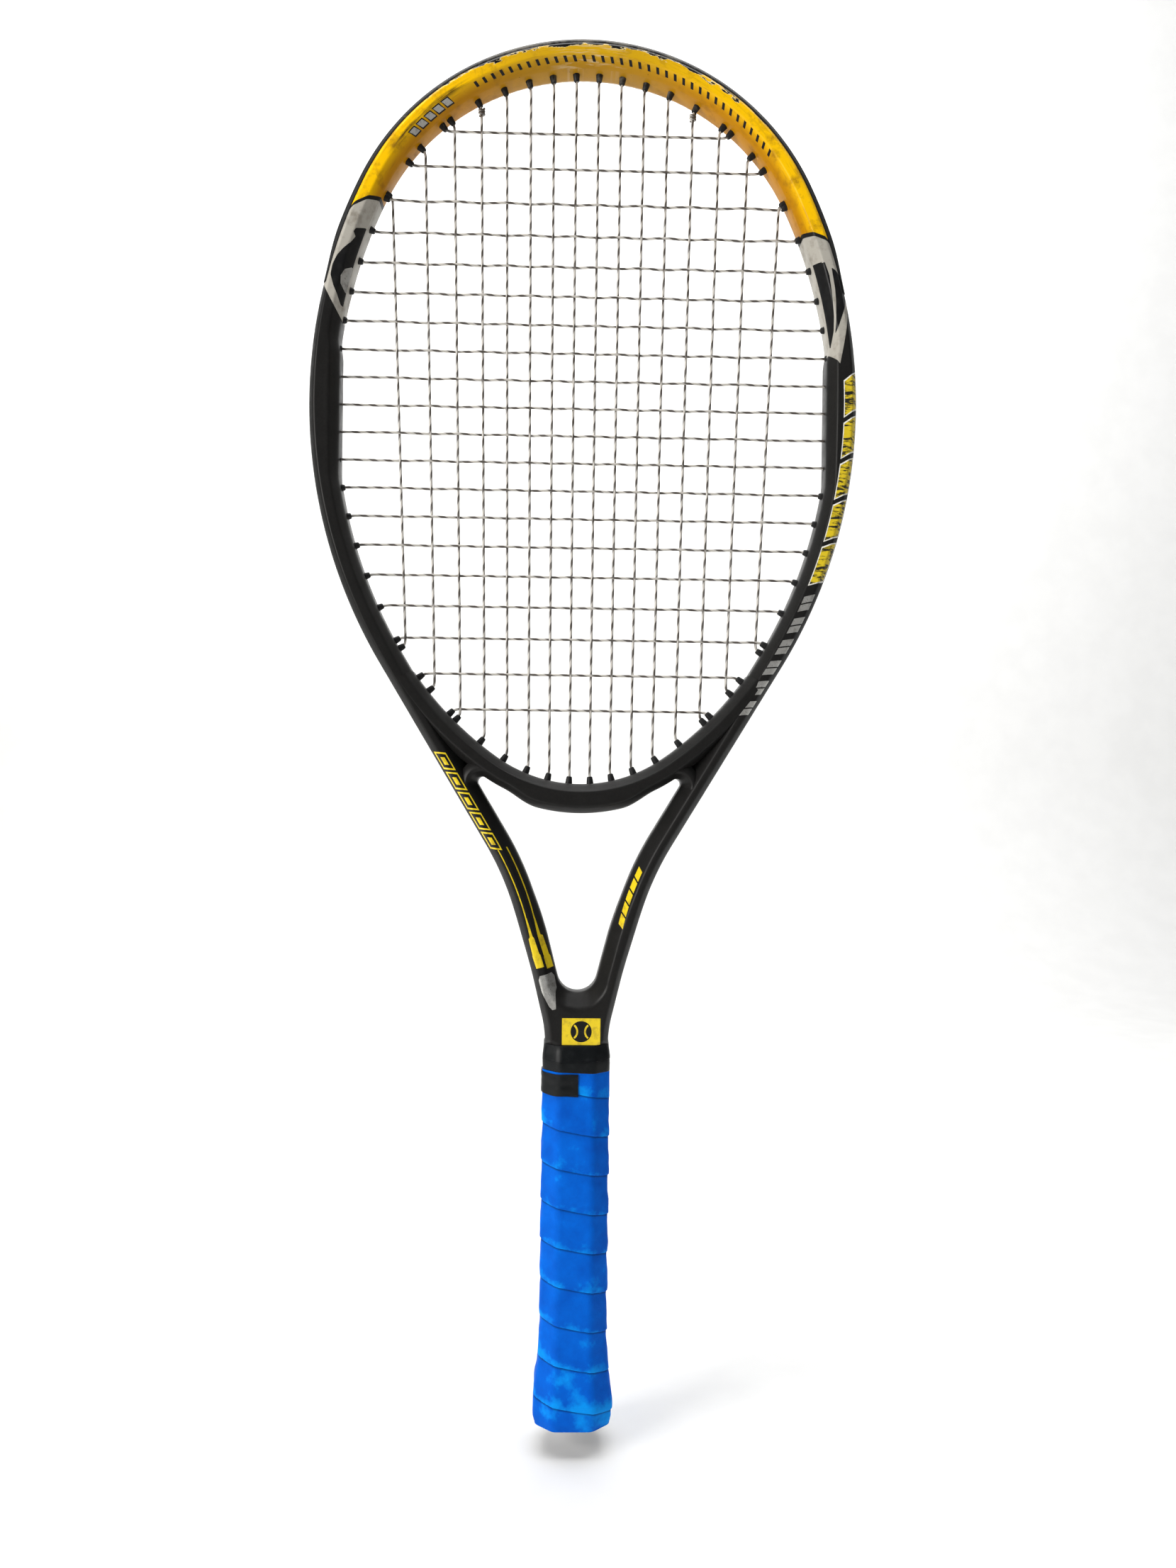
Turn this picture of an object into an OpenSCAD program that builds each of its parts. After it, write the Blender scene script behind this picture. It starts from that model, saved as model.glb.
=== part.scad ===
// Strung tennis racket: hollow moulded frame, grommets, woven bed drawn as two layers, wrapped handle.
// Stands upright: +Z runs from the butt to the crown, the string bed lies in the XZ plane.
// The origin is the centre of the butt end face. "Heading" is an angle from +Z towards +X.

/* [Overall] */
// Length from butt end to the top of the bumper guard
total_len = 698.5; // [690:0.5:705]

/* [Head outline, string side] */
// Radius of the crown arc
crown_r = 113.2; // [110:0.1:116]
// Heading where the crown arc ends
crown_end = 64; // [62:1:66]
// Radius of the long side arcs
side_r = 244; // [238:1:250]
// Heading where the side arcs end and the shafts leave
side_end = 121; // [119:1:122]
// Radius of the arcs below the sides
lower_r = 174; // [165:1:180]
// Heading where the lower arcs meet the bridge arc
lower_end = 145; // [144:1:146]

/* [Frame tube] */
// Width of the tube in the plane of the strings
tube_w = 11.8; // [11:0.1:12.5]
// Depth of the tube across the string bed
beam = 25; // [23:0.5:27]
// Thickness of the moulded wall
wall = 1.5; // [1.2:0.1:1.8]
// Depth of the groove that runs round the outside
groove_d = 2.2; // [2:0.1:2.4]
// Height that the bumper guard stands proud at the crown
bumper_t = 1.8; // [1.2:0.1:2.2]

/* [Shafts] */
// Straight length of each shaft below the head
upper_shaft_len = 106; // [104:1:108]
// Outside radius of the first bend
bend_r = 150; // [145:1:155]
// Heading of the shafts between the bends
lower_shaft_heading = 103.5; // [103:0.5:104]
// Straight length between the bends
lower_shaft_len = 46; // [44:1:48]
// Outside radius of the second bend
neck_r = 60; // [55:1:65]

/* [Strings] */
// Number of long strings
mains = 16; // [14:2:16]
// Number of short strings
crosses = 20; // [18:1:20]
// Diameter of the string
string_d = 1.3; // [1.2:0.05:1.35]
// Pitch of the mains at the middle of the crown
main_pitch = 11.5; // [11:0.1:11.8]
// Spread of the mains at the throat, as a share of their spread at the crown
main_fan = 0.905; // [0.89:0.005:0.93]
// Pitch of the crosses at the middle of the bed
cross_pitch = 14; // [13.8:0.1:14.1]
// Height of the middle of the bed
bed_mid = 507; // [505:1:509]

/* [Grommets] */
// Outside diameter of a barrel
barrel_d = 3.6; // [3.4:0.1:3.8]
// Thickness of the strip that joins the barrels
strip_t = 0.9; // [0.8:0.1:1]

/* [Handle] */
// Width of the bare foam handle, in the plane of the strings
pallet_w = 28; // [27:0.5:29]
// Depth of the bare foam handle
pallet_d = 24; // [23:0.5:25]
// Thickness of the base grip
base_grip_t = 2; // [1.6:0.1:2.2]
// Thickness of the overgrip
overgrip_t = 1; // [0.8:0.1:1.2]
// Height of the overgrip's upper end
overgrip_top = 175; // [170:1:178]
// Height of the finishing tape's upper end
band_top = 188; // [186:1:190]
// Extra width of the butt flare
flare = 6; // [5:0.5:7]
// Radius of the trap door
door_r = 8.8; // [8:0.1:9.5]

/* [Hidden] */
$fn = 64;
// How far a cutting shape runs past what it cuts
past = 1;
// Section of the tube, from the string side outwards: crease, flat face, bevel
inner_half = beam / 4;
crease_r = 3.6;
crease_drop = 0.4;
face_end = 8.6;
bevel_drop = 4.8;
// Its cavity: the crease's place, and how far each corner stays in from an even wall
cavity_crease_r = 4.3;
cavity_in = [0.8, 0.6, 0.3];
// Lips of the bumper guard, as distances from the tube's front and back faces
channel_half = 2.4;
lip_t = 0.9;
lip_fold = 7.2;
lip_edge = 5.4;
lip_under = 5.2;
strip_gap = 0.2;
bore_gap = 0.2;
side_show = 0.8;

// ---------- head outline ----------
crown_c = [0, total_len - bumper_t - tube_w - crown_r];
side_c = crown_c + (crown_r - side_r) * [sin(crown_end), cos(crown_end)];
lower_c = side_c + (side_r - lower_r) * [sin(side_end), cos(side_end)];
bridge_r = lower_r + lower_c[0] / sin(lower_end);
bridge_c = lower_c + (lower_r - bridge_r) * [sin(lower_end), cos(lower_end)];

function out(h) = [sin(h), cos(h)];
function down(h) = [cos(h), -sin(h)];
function centre_at(h) = h <= crown_end ? crown_c : h <= side_end ? side_c
                      : h <= lower_end ? lower_c : bridge_c;
function radius_at(h) = h <= crown_end ? crown_r : h <= side_end ? side_r
                      : h <= lower_end ? lower_r : bridge_r;
// Point on the right half of the outline, r outside the string-side edge
function edge(h, r = 0) = centre_at(h) + (radius_at(h) + r) * out(h);

// ---------- shafts, followed along their string-side face ----------
shaft_p = edge(side_end);
shaft_q = shaft_p + upper_shaft_len * down(side_end);
bend_in = bend_r + tube_w;
bend_c = shaft_q + bend_in * out(side_end);
low_p = bend_c - bend_in * out(lower_shaft_heading);
low_q = low_p + lower_shaft_len * down(lower_shaft_heading);
neck_in = neck_r + tube_w;
neck_c = low_q + neck_in * out(lower_shaft_heading);
neck_p = neck_c - neck_in * out(90);
neck_half = neck_p[0] + tube_w;
throat_r = 10.2;
throat_z = 225.6;
crotch_half = 10.5;
web_low = 2;
web_high = 7.5;
pad_t = 3;
pad_half = 5.2;
pad_h0 = 84;
pad_h1 = 100;
side_strip_len = 78;
string_sides = 8;
shoulder_z = band_top - 2;
shoulder_h = 5;

// ---------- holes ----------
overlap = 0.4;
slim = 0.05;
tip = 3.2;
string_r = string_d / 2;
layer = string_r + 0.01;
hole_r = barrel_d / 2 + 0.05;
strip_r = tube_w - groove_d;
loop_r = tube_w - 0.5;
groove_half = 4.4;

function main_x(v) = main_pitch * v + 0.03 * v * v * v;
function cross_z(u) = bed_mid + cross_pitch * u + 0.0173 * u * u * u;
function main_steps() = [for (i = [0 : mains / 2 - 1]) i + 0.5];
function cross_steps() = [for (j = [0 : crosses - 1]) (crosses - 1) / 2 - j];

// Heading of the hole whose barrel tip lies at height z, or at distance x from the middle
function heading_z(z) =
    z > edge(crown_end)[1] ? acos((z - crown_c[1]) / (crown_r - tip))
  : z > edge(side_end)[1] ? acos((z - side_c[1]) / (side_r - 1))
  : acos((z - lower_c[1]) / (lower_r - tip));
function top_heading(x) = min(crown_end, asin(min(1, x / (crown_r - tip))));
function low_heading(x) = 180 - (x < edge(lower_end, -tip)[0]
  ? asin(x / (bridge_r - tip)) : asin((x - lower_c[0]) / (lower_r - tip)));

function main_top(v) = top_heading(main_x(v));
function main_low(v) = low_heading(main_x(v) * main_fan);
function cross_head(u) = heading_z(cross_z(u));

// Distance along the hole from the string side to the outer face, right through the shaft
function reach(h) = h <= side_end || h >= lower_end ? tube_w
  : (tube_w + (shaft_p - edge(h)) * out(side_end)) / (out(h) * out(side_end));
// Length of barrel showing inside the head: long at the crown and throat, short at the sides
function show(h) = side_show + (tip - side_show) * min(1, 1.6 * abs(cos(h)));
function hole_exit(h) = edge(h, reach(h) - tube_w + loop_r);

bumper_end = 77;
crown_heads = [for (v = main_steps()) main_top(v)];
upper_cross = [for (u = cross_steps()) if (cross_head(u) < bumper_end) cross_head(u)];
side_cross = [for (u = cross_steps()) if (cross_head(u) >= bumper_end) cross_head(u)];
side_main = [for (v = main_steps()) if (main_low(v) < lower_end) main_low(v)];
bridge_main = [for (v = main_steps()) if (main_low(v) >= lower_end) main_low(v)];

// ---------- handle ----------
butt_round = 1;
butt_in = 2.5;
flare_low = 4;
flare_mid = 0.35;
leg_w = 10.4;
leg_d = 15;
leg_gap = 0.8;
leg_bottom = 38;
foam_bottom = 14;
cap_t = 1.5;
cap_top = 36;
flare_z = 10;
flare_end = 34;
clear = 0.05;
chamfer = 0.24;
tape_t = 0.8;
band_h = 13;
patch_size = [16, 0.3, 11];
door_gap = 0.2;
door_recess = 3;
door_plate = 2;
snap_len = 9;
snap_w = 7;
snap_t = 1.4;
mark_r = [5.4, 6.2];
mark_deep = 0.6;
wire = 0.6;

// ---------- shared shapes ----------
module both_sides() {
    children();
    mirror([1, 0, 0]) children();
}

// Carries a profile (x outward, y across the bed) round a centre, between two headings
module round_run(c, r, h0, h1)
    translate([c[0], 0, c[1]]) rotate([90, 0, 0]) rotate([0, 0, 90 - h1])
        rotate_extrude(angle = h1 - h0, $fn = 180) translate([r, 0]) children();

// The same where the tube bends the other way, about a centre outside it
module back_run(c, r, h0, h1)
    translate([c[0], 0, c[1]]) rotate([90, 0, 0]) rotate([0, 0, 270 - h0])
        rotate_extrude(angle = h0 - h1, $fn = 180) translate([r, 0]) mirror([1, 0]) children();

module straight_run(p, h, len)
    translate([p[0], 0, p[1]]) rotate([0, h - 90, 0]) translate([0, 0, -len])
        linear_extrude(len) children();

// Both faces of a profile from the points of one face
function mirrored_points(p) = concat(p, [for (i = [len(p) - 1 : -1 : 0]) [p[i][0], -p[i][1]]]);

// Angle that an overlap takes on an arc of radius r
function lap(r) = overlap / r * 180 / PI;

// Wedge-shaped tube: narrow towards the strings, creased on both faces, grooved outside
module tube_profile(s = 0)
    polygon(mirrored_points([[s, inner_half], [crease_r, beam / 2 - crease_drop - s],
        [face_end, beam / 2 - s], [tube_w - s, beam / 2 - bevel_drop], [tube_w - s, groove_half + s],
        [strip_r - s, groove_half + s]]));

module cavity_profile(s = 0)
    polygon(mirrored_points([[wall - s, inner_half - cavity_in[0]],
        [cavity_crease_r, beam / 2 - wall - cavity_in[1] + s],
        [strip_r - wall + s, beam / 2 - wall - cavity_in[2] + s]]));

module strip_profile(s = 0)
    translate([strip_r + s, -groove_half + strip_gap + s])
        square([strip_t - 2 * s, 2 * (groove_half - strip_gap - s)]);

// Guard: a strip with two lips that stand proud each side of the string channel
module bumper_profile(s = 0)
    polygon(mirrored_points([[strip_r + strip_t - s, channel_half + s],
        [tube_w + bumper_t - s, channel_half + s], [tube_w + bumper_t - s, beam / 2 - lip_fold],
        [tube_w + lip_t - s, beam / 2 - lip_edge], [tube_w + clear + s, beam / 2 - lip_under],
        [tube_w + clear + s, groove_half - strip_gap - s], [strip_r + s, groove_half - strip_gap - s]]));

// Neighbouring runs take children 0 and 1, a full and a slim profile, and the slim one overlaps
module head_run(h1) {
    round_run(crown_c, crown_r, -crown_end, crown_end) children(0);
    both_sides() round_run(side_c, side_r, crown_end - lap(side_r), h1) children(1);
}

module shaft_run()
    both_sides() {
        straight_run(shaft_p, side_end, upper_shaft_len) children(0);
        back_run(bend_c, bend_in, side_end + lap(bend_in), lower_shaft_heading - lap(bend_in)) children(1);
        straight_run(low_p, lower_shaft_heading, lower_shaft_len) children(0);
        back_run(neck_c, neck_in, lower_shaft_heading + lap(neck_in), 90) children(1);
        straight_run(neck_p + [0, overlap], 90, overlap + neck_p[1] - shoulder_z - shoulder_h + past)
            children(0);
    }

module bridge_run(h0) {
    both_sides() round_run(lower_c, lower_r, h0, lower_end + lap(lower_r)) children(1);
    round_run(bridge_c, bridge_r, lower_end, 360 - lower_end) children(0);
}

// A round hole or rod along heading h, from a to b outside the edge, at depth y
module along(h, a, b, r, y)
    translate([edge(h)[0], y, edge(h)[1]]) rotate([0, h, 0]) translate([0, 0, a])
        cylinder(r = r, h = b - a, $fn = 24);

module holes(heads, y)
    for (h = heads) along(h, -tip - past, reach(h) + past, hole_r, y);

module all_holes()
    both_sides() {
        holes(crown_heads, -layer);
        holes(upper_cross, layer);
        holes(side_cross, layer);
        holes(side_main, -layer);
        holes(bridge_main, -layer);
    }

module barrels(heads, y)
    for (h = heads) along(h, -show(h), reach(h) - groove_d + strip_t / 2, barrel_d / 2, y);

module barrel_bores(heads, y)
    for (h = heads) along(h, -tip - past, reach(h) + past, string_r + bore_gap, y);

// ---------- frame ----------
module shaft_outer() shaft_run() { tube_profile(); tube_profile(slim); }

// Solid web where the shafts meet above the handle, with a round bottom to the throat
module crotch()
    rotate([90, 0, 0]) translate([0, 0, -crotch_half]) linear_extrude(2 * crotch_half) difference() {
        polygon([[-neck_p[0] - web_low, shoulder_z], [neck_p[0] + web_low, shoulder_z],
            [neck_p[0] + web_high, throat_z], [-neck_p[0] - web_high, throat_z]]);
        translate([0, throat_z]) circle(throat_r);
    }

// Flat-faced thickening inside the widest part of the hoop
module side_pad()
    intersection() {
        round_run(side_c, side_r, pad_h0, pad_h1)
            translate([-pad_t - past, -pad_half]) square([pad_t + 2 * past, 2 * pad_half]);
        translate([edge(90)[0] - pad_t, -2 * pad_half, 0]) cube([tube_w, 4 * pad_half, total_len]);
    }

module octagon(w, d)
    polygon([for (s = [[1, 1], [-1, 1], [-1, -1], [1, -1]], e = [0, 1])
        let (near = e == (s[0] * s[1] > 0 ? 0 : 1))
        [s[0] * (w / 2 - (near ? 0 : chamfer * w)), s[1] * (d / 2 - (near ? chamfer * d : 0))]]);

module leg(grow, bottom)
    both_sides() translate([leg_gap / 2 + leg_w / 2, 0, bottom])
        linear_extrude(shoulder_z - bottom + overlap)
            square([leg_w + 2 * grow, leg_d + 2 * grow], center = true);

module frame_tube()
    color("#1c1c1e") difference() {
        union() {
            difference() {
                union() {
                    head_run(side_end + lap(side_r)) { tube_profile(); tube_profile(slim); }
                    shaft_outer();
                    both_sides() side_pad();
                }
                head_run(side_end + lap(side_r)) { cavity_profile(); cavity_profile(slim); }
                shaft_run() { cavity_profile(); cavity_profile(slim); }
            }
            crotch();
            translate([0, 0, shoulder_z]) linear_extrude(shoulder_h) octagon(2 * neck_half, beam - 2);
            difference() {
                leg(0, leg_bottom);
                leg(-wall, leg_bottom - past);
            }
        }
        all_holes();
    }

// ---------- throat bridge ----------
corner_r = 4.5;
bridge_start = 127;
groove_cut = 8;
corner_d = bridge_r + tube_w + corner_r;
corner_h = side_end + 90 + asin(((bridge_c - shaft_p) * out(side_end) + corner_r) / corner_d);
corner_c = bridge_c + corner_d * out(corner_h);

// Fills the sharp corner between bridge and shaft down to a small radius
module corner_fill()
    rotate([90, 0, 0]) translate([0, 0, -beam / 2 + 2]) linear_extrude(beam - 4) difference() {
        polygon([corner_c - corner_r * out(corner_h) + [-1, 2], edge(140, tube_w - 2),
            edge(140, tube_w + 3), corner_c + (corner_r + 2) * out(side_end), corner_c]);
        translate(corner_c) circle(corner_r, $fn = 48);
    }

module bridge_solid()
    difference() {
        union() {
            bridge_run(bridge_start) { tube_profile(); tube_profile(slim); }
            both_sides() corner_fill();
        }
        round_run(bridge_c, bridge_r, lower_end, 360 - lower_end)
            translate([strip_r, -groove_half]) square([groove_cut, 2 * groove_half]);
        shaft_outer();
    }

module throat_bridge()
    color("#202022") difference() {
        bridge_solid();
        bridge_run(bridge_start - 1) { cavity_profile(); cavity_profile(slim); }
        all_holes();
    }

module bridge_core()
    color("#e8e2cf") difference() {
        bridge_run(bridge_start + 1) { cavity_profile(); cavity_profile(slim); }
        shaft_outer();
        all_holes();
    }

// ---------- guard and grommets ----------
module bumper_guard()
    color("#111113") difference() {
        union() {
            head_run(bumper_end - 0.2) { bumper_profile(); bumper_profile(slim); }
            both_sides() {
                barrels(crown_heads, -layer);
                barrels(upper_cross, layer);
            }
        }
        both_sides() {
            barrel_bores(crown_heads, -layer);
            barrel_bores(upper_cross, layer);
        }
    }

module side_strip()
    difference() {
        union() {
            round_run(side_c, side_r, bumper_end, side_end + lap(side_r)) strip_profile(slim);
            straight_run(shaft_p, side_end, side_strip_len) strip_profile();
            barrels(side_cross, layer);
            barrels(side_main, -layer);
        }
        barrel_bores(side_cross, layer);
        barrel_bores(side_main, -layer);
    }

module right_grommet_strip() color("#131315") side_strip();

module left_grommet_strip() color("#131315") mirror([1, 0, 0]) side_strip();

module throat_grommet_strip()
    color("#131315") difference() {
        union() {
            round_run(bridge_c, bridge_r, lower_end + 2, 358 - lower_end) strip_profile();
            both_sides() barrels(bridge_main, -layer);
        }
        both_sides() barrel_bores(bridge_main, -layer);
    }

// ---------- strings ----------
function tip_at(h) = edge(h, -show(h) - 0.6);
function flip(p, s) = [s * p[0], p[1]];
function unit(v) = v / norm(v);
function left_of(v) = [-v[1], v[0]];

// Middle of the run outside the frame between two holes, lifted to follow the groove
function loop_mid(h0, h1) = max(h0, h1) < side_end || min(h0, h1) > lower_end
    ? edge((h0 + h1) / 2, loop_r) : (hole_exit(h0) + hole_exit(h1)) / 2;

// Sideways step at a corner of a path, stretched so that the string keeps its width
function mitre(p, i) =
    let (a = unit(p[min(i + 1, len(p) - 1)] - p[min(i, len(p) - 2)]),
         b = unit(p[max(i, 1)] - p[max(i - 1, 0)]))
    (left_of(a) + left_of(b)) / (1 + a * b);

// One string as a closed tube along a path in the plane at depth y
module string_along(path, y) {
    n = len(path);
    points = [for (i = [0 : n - 1], k = [0 : string_sides - 1])
        let (a = 360 * k / string_sides, m = mitre(path, i))
        [path[i][0] + string_r * cos(a) * m[0], y + string_r * sin(a),
         path[i][1] + string_r * cos(a) * m[1]]];
    walls = [for (i = [0 : n - 2], k = [0 : string_sides - 1])
        let (j = (k + 1) % string_sides, c = i * string_sides)
        [c + k, c + j, c + string_sides + j, c + string_sides + k]];
    first = [for (k = [string_sides - 1 : -1 : 0]) k];
    last = [for (k = [0 : string_sides - 1]) (n - 1) * string_sides + k];
    polyhedron(points, concat(walls, [first, last]));
}

// Mains: up one hole and down the next, from the left edge of the bed to the right
function main_at(i) = i - (mains - 1) / 2;
function main_ends(i) = let (v = abs(main_at(i)), s = sign(main_at(i)))
    [for (h = [main_low(v), main_top(v)]) [flip(hole_exit(h), s), flip(tip_at(h), s)]];
function main_loop(i) = let (v = abs(main_at(i)), w = abs(main_at(i + 1)), s = sign(main_at(i)))
    v == w ? [[0, edge(0, loop_r)[1]]]
    : [flip(i % 2 == 0 ? loop_mid(main_low(v), main_low(w)) : loop_mid(main_top(v), main_top(w)), s)];
function main_leg(i) = let (e = main_ends(i), up = [e[0][0], e[0][1], e[1][1], e[1][0]])
    i % 2 == 1 ? up : [up[3], up[2], up[1], up[0]];

module main_string()
    color("#c9ccd0") string_along([for (i = [0 : mains - 1])
        each concat(main_leg(i), i < mains - 1 ? main_loop(i) : [])], -layer);

// Crosses: from side to side, down the bed
function cross_leg(j) = let (h = cross_head(cross_steps()[j]), s = j % 2 == 0 ? 1 : -1)
    [flip(hole_exit(h), -s), flip(tip_at(h), -s), flip(tip_at(h), s), flip(hole_exit(h), s)];
function cross_loop(j) = [flip(loop_mid(cross_head(cross_steps()[j]), cross_head(cross_steps()[j + 1])),
    j % 2 == 0 ? 1 : -1)];

module cross_string()
    color("#b9bcc2") string_along([for (j = [0 : crosses - 1])
        each concat(cross_leg(j), j < crosses - 1 ? cross_loop(j) : [])], layer);

// ---------- handle ----------
module slab(w, d, z, h = 0.01) translate([0, 0, z]) linear_extrude(h) octagon(w, d);

module sleeve_outer(grow, top) {
    w = pallet_w + 2 * grow;
    d = pallet_d + 2 * grow;
    translate([0, 0, flare_end]) linear_extrude(top - flare_end) octagon(w, d);
    hull() {
        slab(w, d, flare_end);
        slab(w + flare_mid * flare, d + flare_mid * flare, (flare_end + flare_z) / 2);
    }
    hull() {
        slab(w + flare_mid * flare, d + flare_mid * flare, (flare_end + flare_z) / 2);
        slab(w + flare, d + flare, flare_z);
    }
    hull() {
        slab(w + flare, d + flare, flare_z);
        slab(w + flare, d + flare, flare_low);
    }
    hull() {
        slab(w + flare, d + flare, flare_low);
        slab(w + flare - butt_in, d + flare - butt_in, butt_round);
    }
}

module handle_pallet()
    color("#d9d5c8") difference() {
        union() {
            translate([0, 0, foam_bottom]) linear_extrude(cap_top - foam_bottom + past)
                octagon(pallet_w - 2 * (cap_t + clear), pallet_d - 2 * (cap_t + clear));
            translate([0, 0, cap_top + clear]) linear_extrude(shoulder_z - cap_top - 2 * clear)
                octagon(pallet_w, pallet_d);
        }
        leg(clear, leg_bottom - clear);
    }

module butt_cap()
    color("#17181a") difference() {
        union() {
            sleeve_outer(0, cap_top);
            linear_extrude(butt_round) octagon(pallet_w + flare - butt_in, pallet_d + flare - butt_in);
        }
        translate([0, 0, foam_bottom - clear]) linear_extrude(cap_top)
            octagon(pallet_w - 2 * cap_t, pallet_d - 2 * cap_t);
        translate([0, 0, door_recess])
            cylinder(r = door_r + door_gap + past, h = foam_bottom - door_recess);
        translate([0, 0, -past]) cylinder(r = door_r + door_gap, h = foam_bottom);
    }

module trap_door()
    color("#202124") difference() {
        union() {
            cylinder(r = door_r, h = door_plate);
            for (a = [0, 180]) rotate(a) intersection() {
                difference() {
                    cylinder(r = door_r, h = snap_len);
                    translate([0, 0, -past]) cylinder(r = door_r - snap_t, h = snap_len + 2 * past);
                }
                translate([0, -snap_w / 2, 0]) cube([door_r + past, snap_w, snap_len]);
            }
        }
        translate([0, 0, -0.01]) difference() {
            cylinder(r = mark_r[1], h = mark_deep);
            cylinder(r = mark_r[0], h = mark_deep);
        }
    }

// Wire staple lying on a flat of the handle, its legs pushed inwards
module staple(w, leg_len, z, y)
    translate([-w / 2, y, z]) {
        cube([w, wire, wire]);
        cube([wire, leg_len, wire]);
        translate([w - wire, 0, 0]) cube([wire, leg_len, wire]);
    }

module butt_cap_staples()
    color("#a8a9ad") for (a = [0, 180]) rotate(a) for (z = [22, 30])
        staple(8, 4.5, z, -pallet_d / 2 + 2 * clear
            - flare_mid * flare * (flare_end - z) / (flare_end - flare_z));

module base_grip()
    color("#26272b") difference() {
        sleeve_outer(base_grip_t, band_top - 3);
        sleeve_outer(clear, band_top);
        translate([0, 0, -past]) linear_extrude(butt_round + past + 0.2)
            octagon(2 * pallet_w, 2 * pallet_w);
    }

module grip_staple()
    color("#a8a9ad") staple(7, 3.5, 12, -(pallet_d + flare) / 2 - base_grip_t + 0.5);

module overgrip()
    color("#0a66d2") difference() {
        sleeve_outer(base_grip_t + overgrip_t, overgrip_top);
        sleeve_outer(base_grip_t + clear, band_top);
        translate([0, 0, -past]) linear_extrude(butt_round + past) octagon(2 * pallet_w, 2 * pallet_w);
    }

module finishing_tape()
    color("#0f0f10") difference() {
        translate([0, 0, overgrip_top + clear]) linear_extrude(band_top - 3 - overgrip_top)
            octagon(pallet_w + 2 * (base_grip_t + tape_t), pallet_d + 2 * (base_grip_t + tape_t));
        translate([0, 0, overgrip_top - past]) linear_extrude(band_h + 2 * past)
            octagon(pallet_w + 2 * (base_grip_t + clear), pallet_d + 2 * (base_grip_t + clear));
    }

module tape_patch()
    color("#101012") translate([-patch_size[0] / 2,
        -(pallet_d / 2 + base_grip_t + overgrip_t + patch_size[1] + clear), overgrip_top - band_h])
        cube(patch_size);

frame_tube();
throat_bridge();
bridge_core();
bumper_guard();
left_grommet_strip();
right_grommet_strip();
throat_grommet_strip();
main_string();
cross_string();
handle_pallet();
butt_cap();
trap_door();
butt_cap_staples();
base_grip();
grip_staple();
overgrip();
finishing_tape();
tape_patch();
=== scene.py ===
"""Looks for a strung tennis racket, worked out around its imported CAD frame.

The racket stands upright: +Z from the butt to the crown, the string bed in the XZ plane, -Y the front.
Shapes are worked out in millimetres and go into the meshes in metres.
"""

import functools
import math

import bpy
import numpy as np
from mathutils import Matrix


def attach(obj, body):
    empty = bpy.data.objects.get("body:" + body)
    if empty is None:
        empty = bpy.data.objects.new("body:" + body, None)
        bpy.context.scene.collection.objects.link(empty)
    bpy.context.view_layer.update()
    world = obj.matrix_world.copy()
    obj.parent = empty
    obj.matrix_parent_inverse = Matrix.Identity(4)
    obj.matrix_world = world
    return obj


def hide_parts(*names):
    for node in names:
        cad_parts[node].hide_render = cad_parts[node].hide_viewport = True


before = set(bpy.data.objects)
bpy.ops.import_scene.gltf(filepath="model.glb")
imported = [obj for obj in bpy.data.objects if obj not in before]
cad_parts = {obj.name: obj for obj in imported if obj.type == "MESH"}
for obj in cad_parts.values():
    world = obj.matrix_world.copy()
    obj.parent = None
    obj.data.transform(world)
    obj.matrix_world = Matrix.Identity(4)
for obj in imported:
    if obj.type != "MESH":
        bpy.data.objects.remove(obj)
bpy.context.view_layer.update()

bl_info = {
    "name": "Strung tennis racket",
    "version": (1, 0, 0),
    "blender": (4, 5, 0),
    "location": "3D View > Sidebar > Racket",
    "description": "Builds the lacquered frame, strings, guards and wrapped handle of a tennis racket",
    "category": "Add Mesh",
}

MM = 0.001

# Outline of the head on the string side: arcs (radius, heading where each ends). A heading is an angle
# from +Z towards +X of the direction that points out of the head.
CROWN_R, CROWN_END = 113.2, 64.0
SIDE_R, SIDE_END = 244.0, 121.0
LOWER_R, LOWER_END = 174.0, 145.0
CROWN_Z = 571.7
# The tube's width outwards and half its depth, and half the width of the groove round its outside
TUBE_W = 11.8
HALF_BEAM = 12.5
GROOVE_HALF = 4.4
# Distances out from the string side: both faces of the grommet strips, and the string outside the head
STRIP_R, STRIP_TOP = 9.6, 10.5
LOOP_R = 11.3
# Shafts: a straight length, a bend's radius and the heading it ends at, and the same again to upright
UPPER_SHAFT, BEND_IN, LOW_HEADING = 106.0, 161.8, 103.5
LOWER_SHAFT, NECK_IN = 46.0, 71.8
SHAFT_END = 9.0
# Round bottom of the open throat
THROAT_Z, THROAT_R, THROAT_HEADING = 227.0, 10.2, 104.5
# Heading where the bumper guard ends, and how far the side strips go on below the head
BUMPER_END = 77.0
SIDE_STRIP = 78.0
# Inner pad at the sides: thickness, headings where it begins and ends, and how it fades in and out
PAD_T, PAD_H0, PAD_H1, PAD_FADE, PAD_EDGE = 3.0, 84.0, 100.0, 2.0, 0.5
# Strings: their numbers, length of a barrel's tip, narrowing of the fan of mains at the throat
MAINS, CROSSES = 16, 20
TIP = 3.2
THROAT_FAN = 0.905
LOOP_POINTS, BED_POINTS, STRING_STEP = 7, 260, 1.5
# Length of one turn of the string's two colours, in metres
TWIST = 0.008
# Handle: heights of the wrap's top, of the tape band and of the end of its hold on the neck
WRAP_TOP, BAND_LOW, BAND_TOP, NECK_FREE = 178.4, 178.2, 191.4, 199.0
OCTAGON_CUT, OCTAGON_POINTS = 2.4, 13
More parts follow.
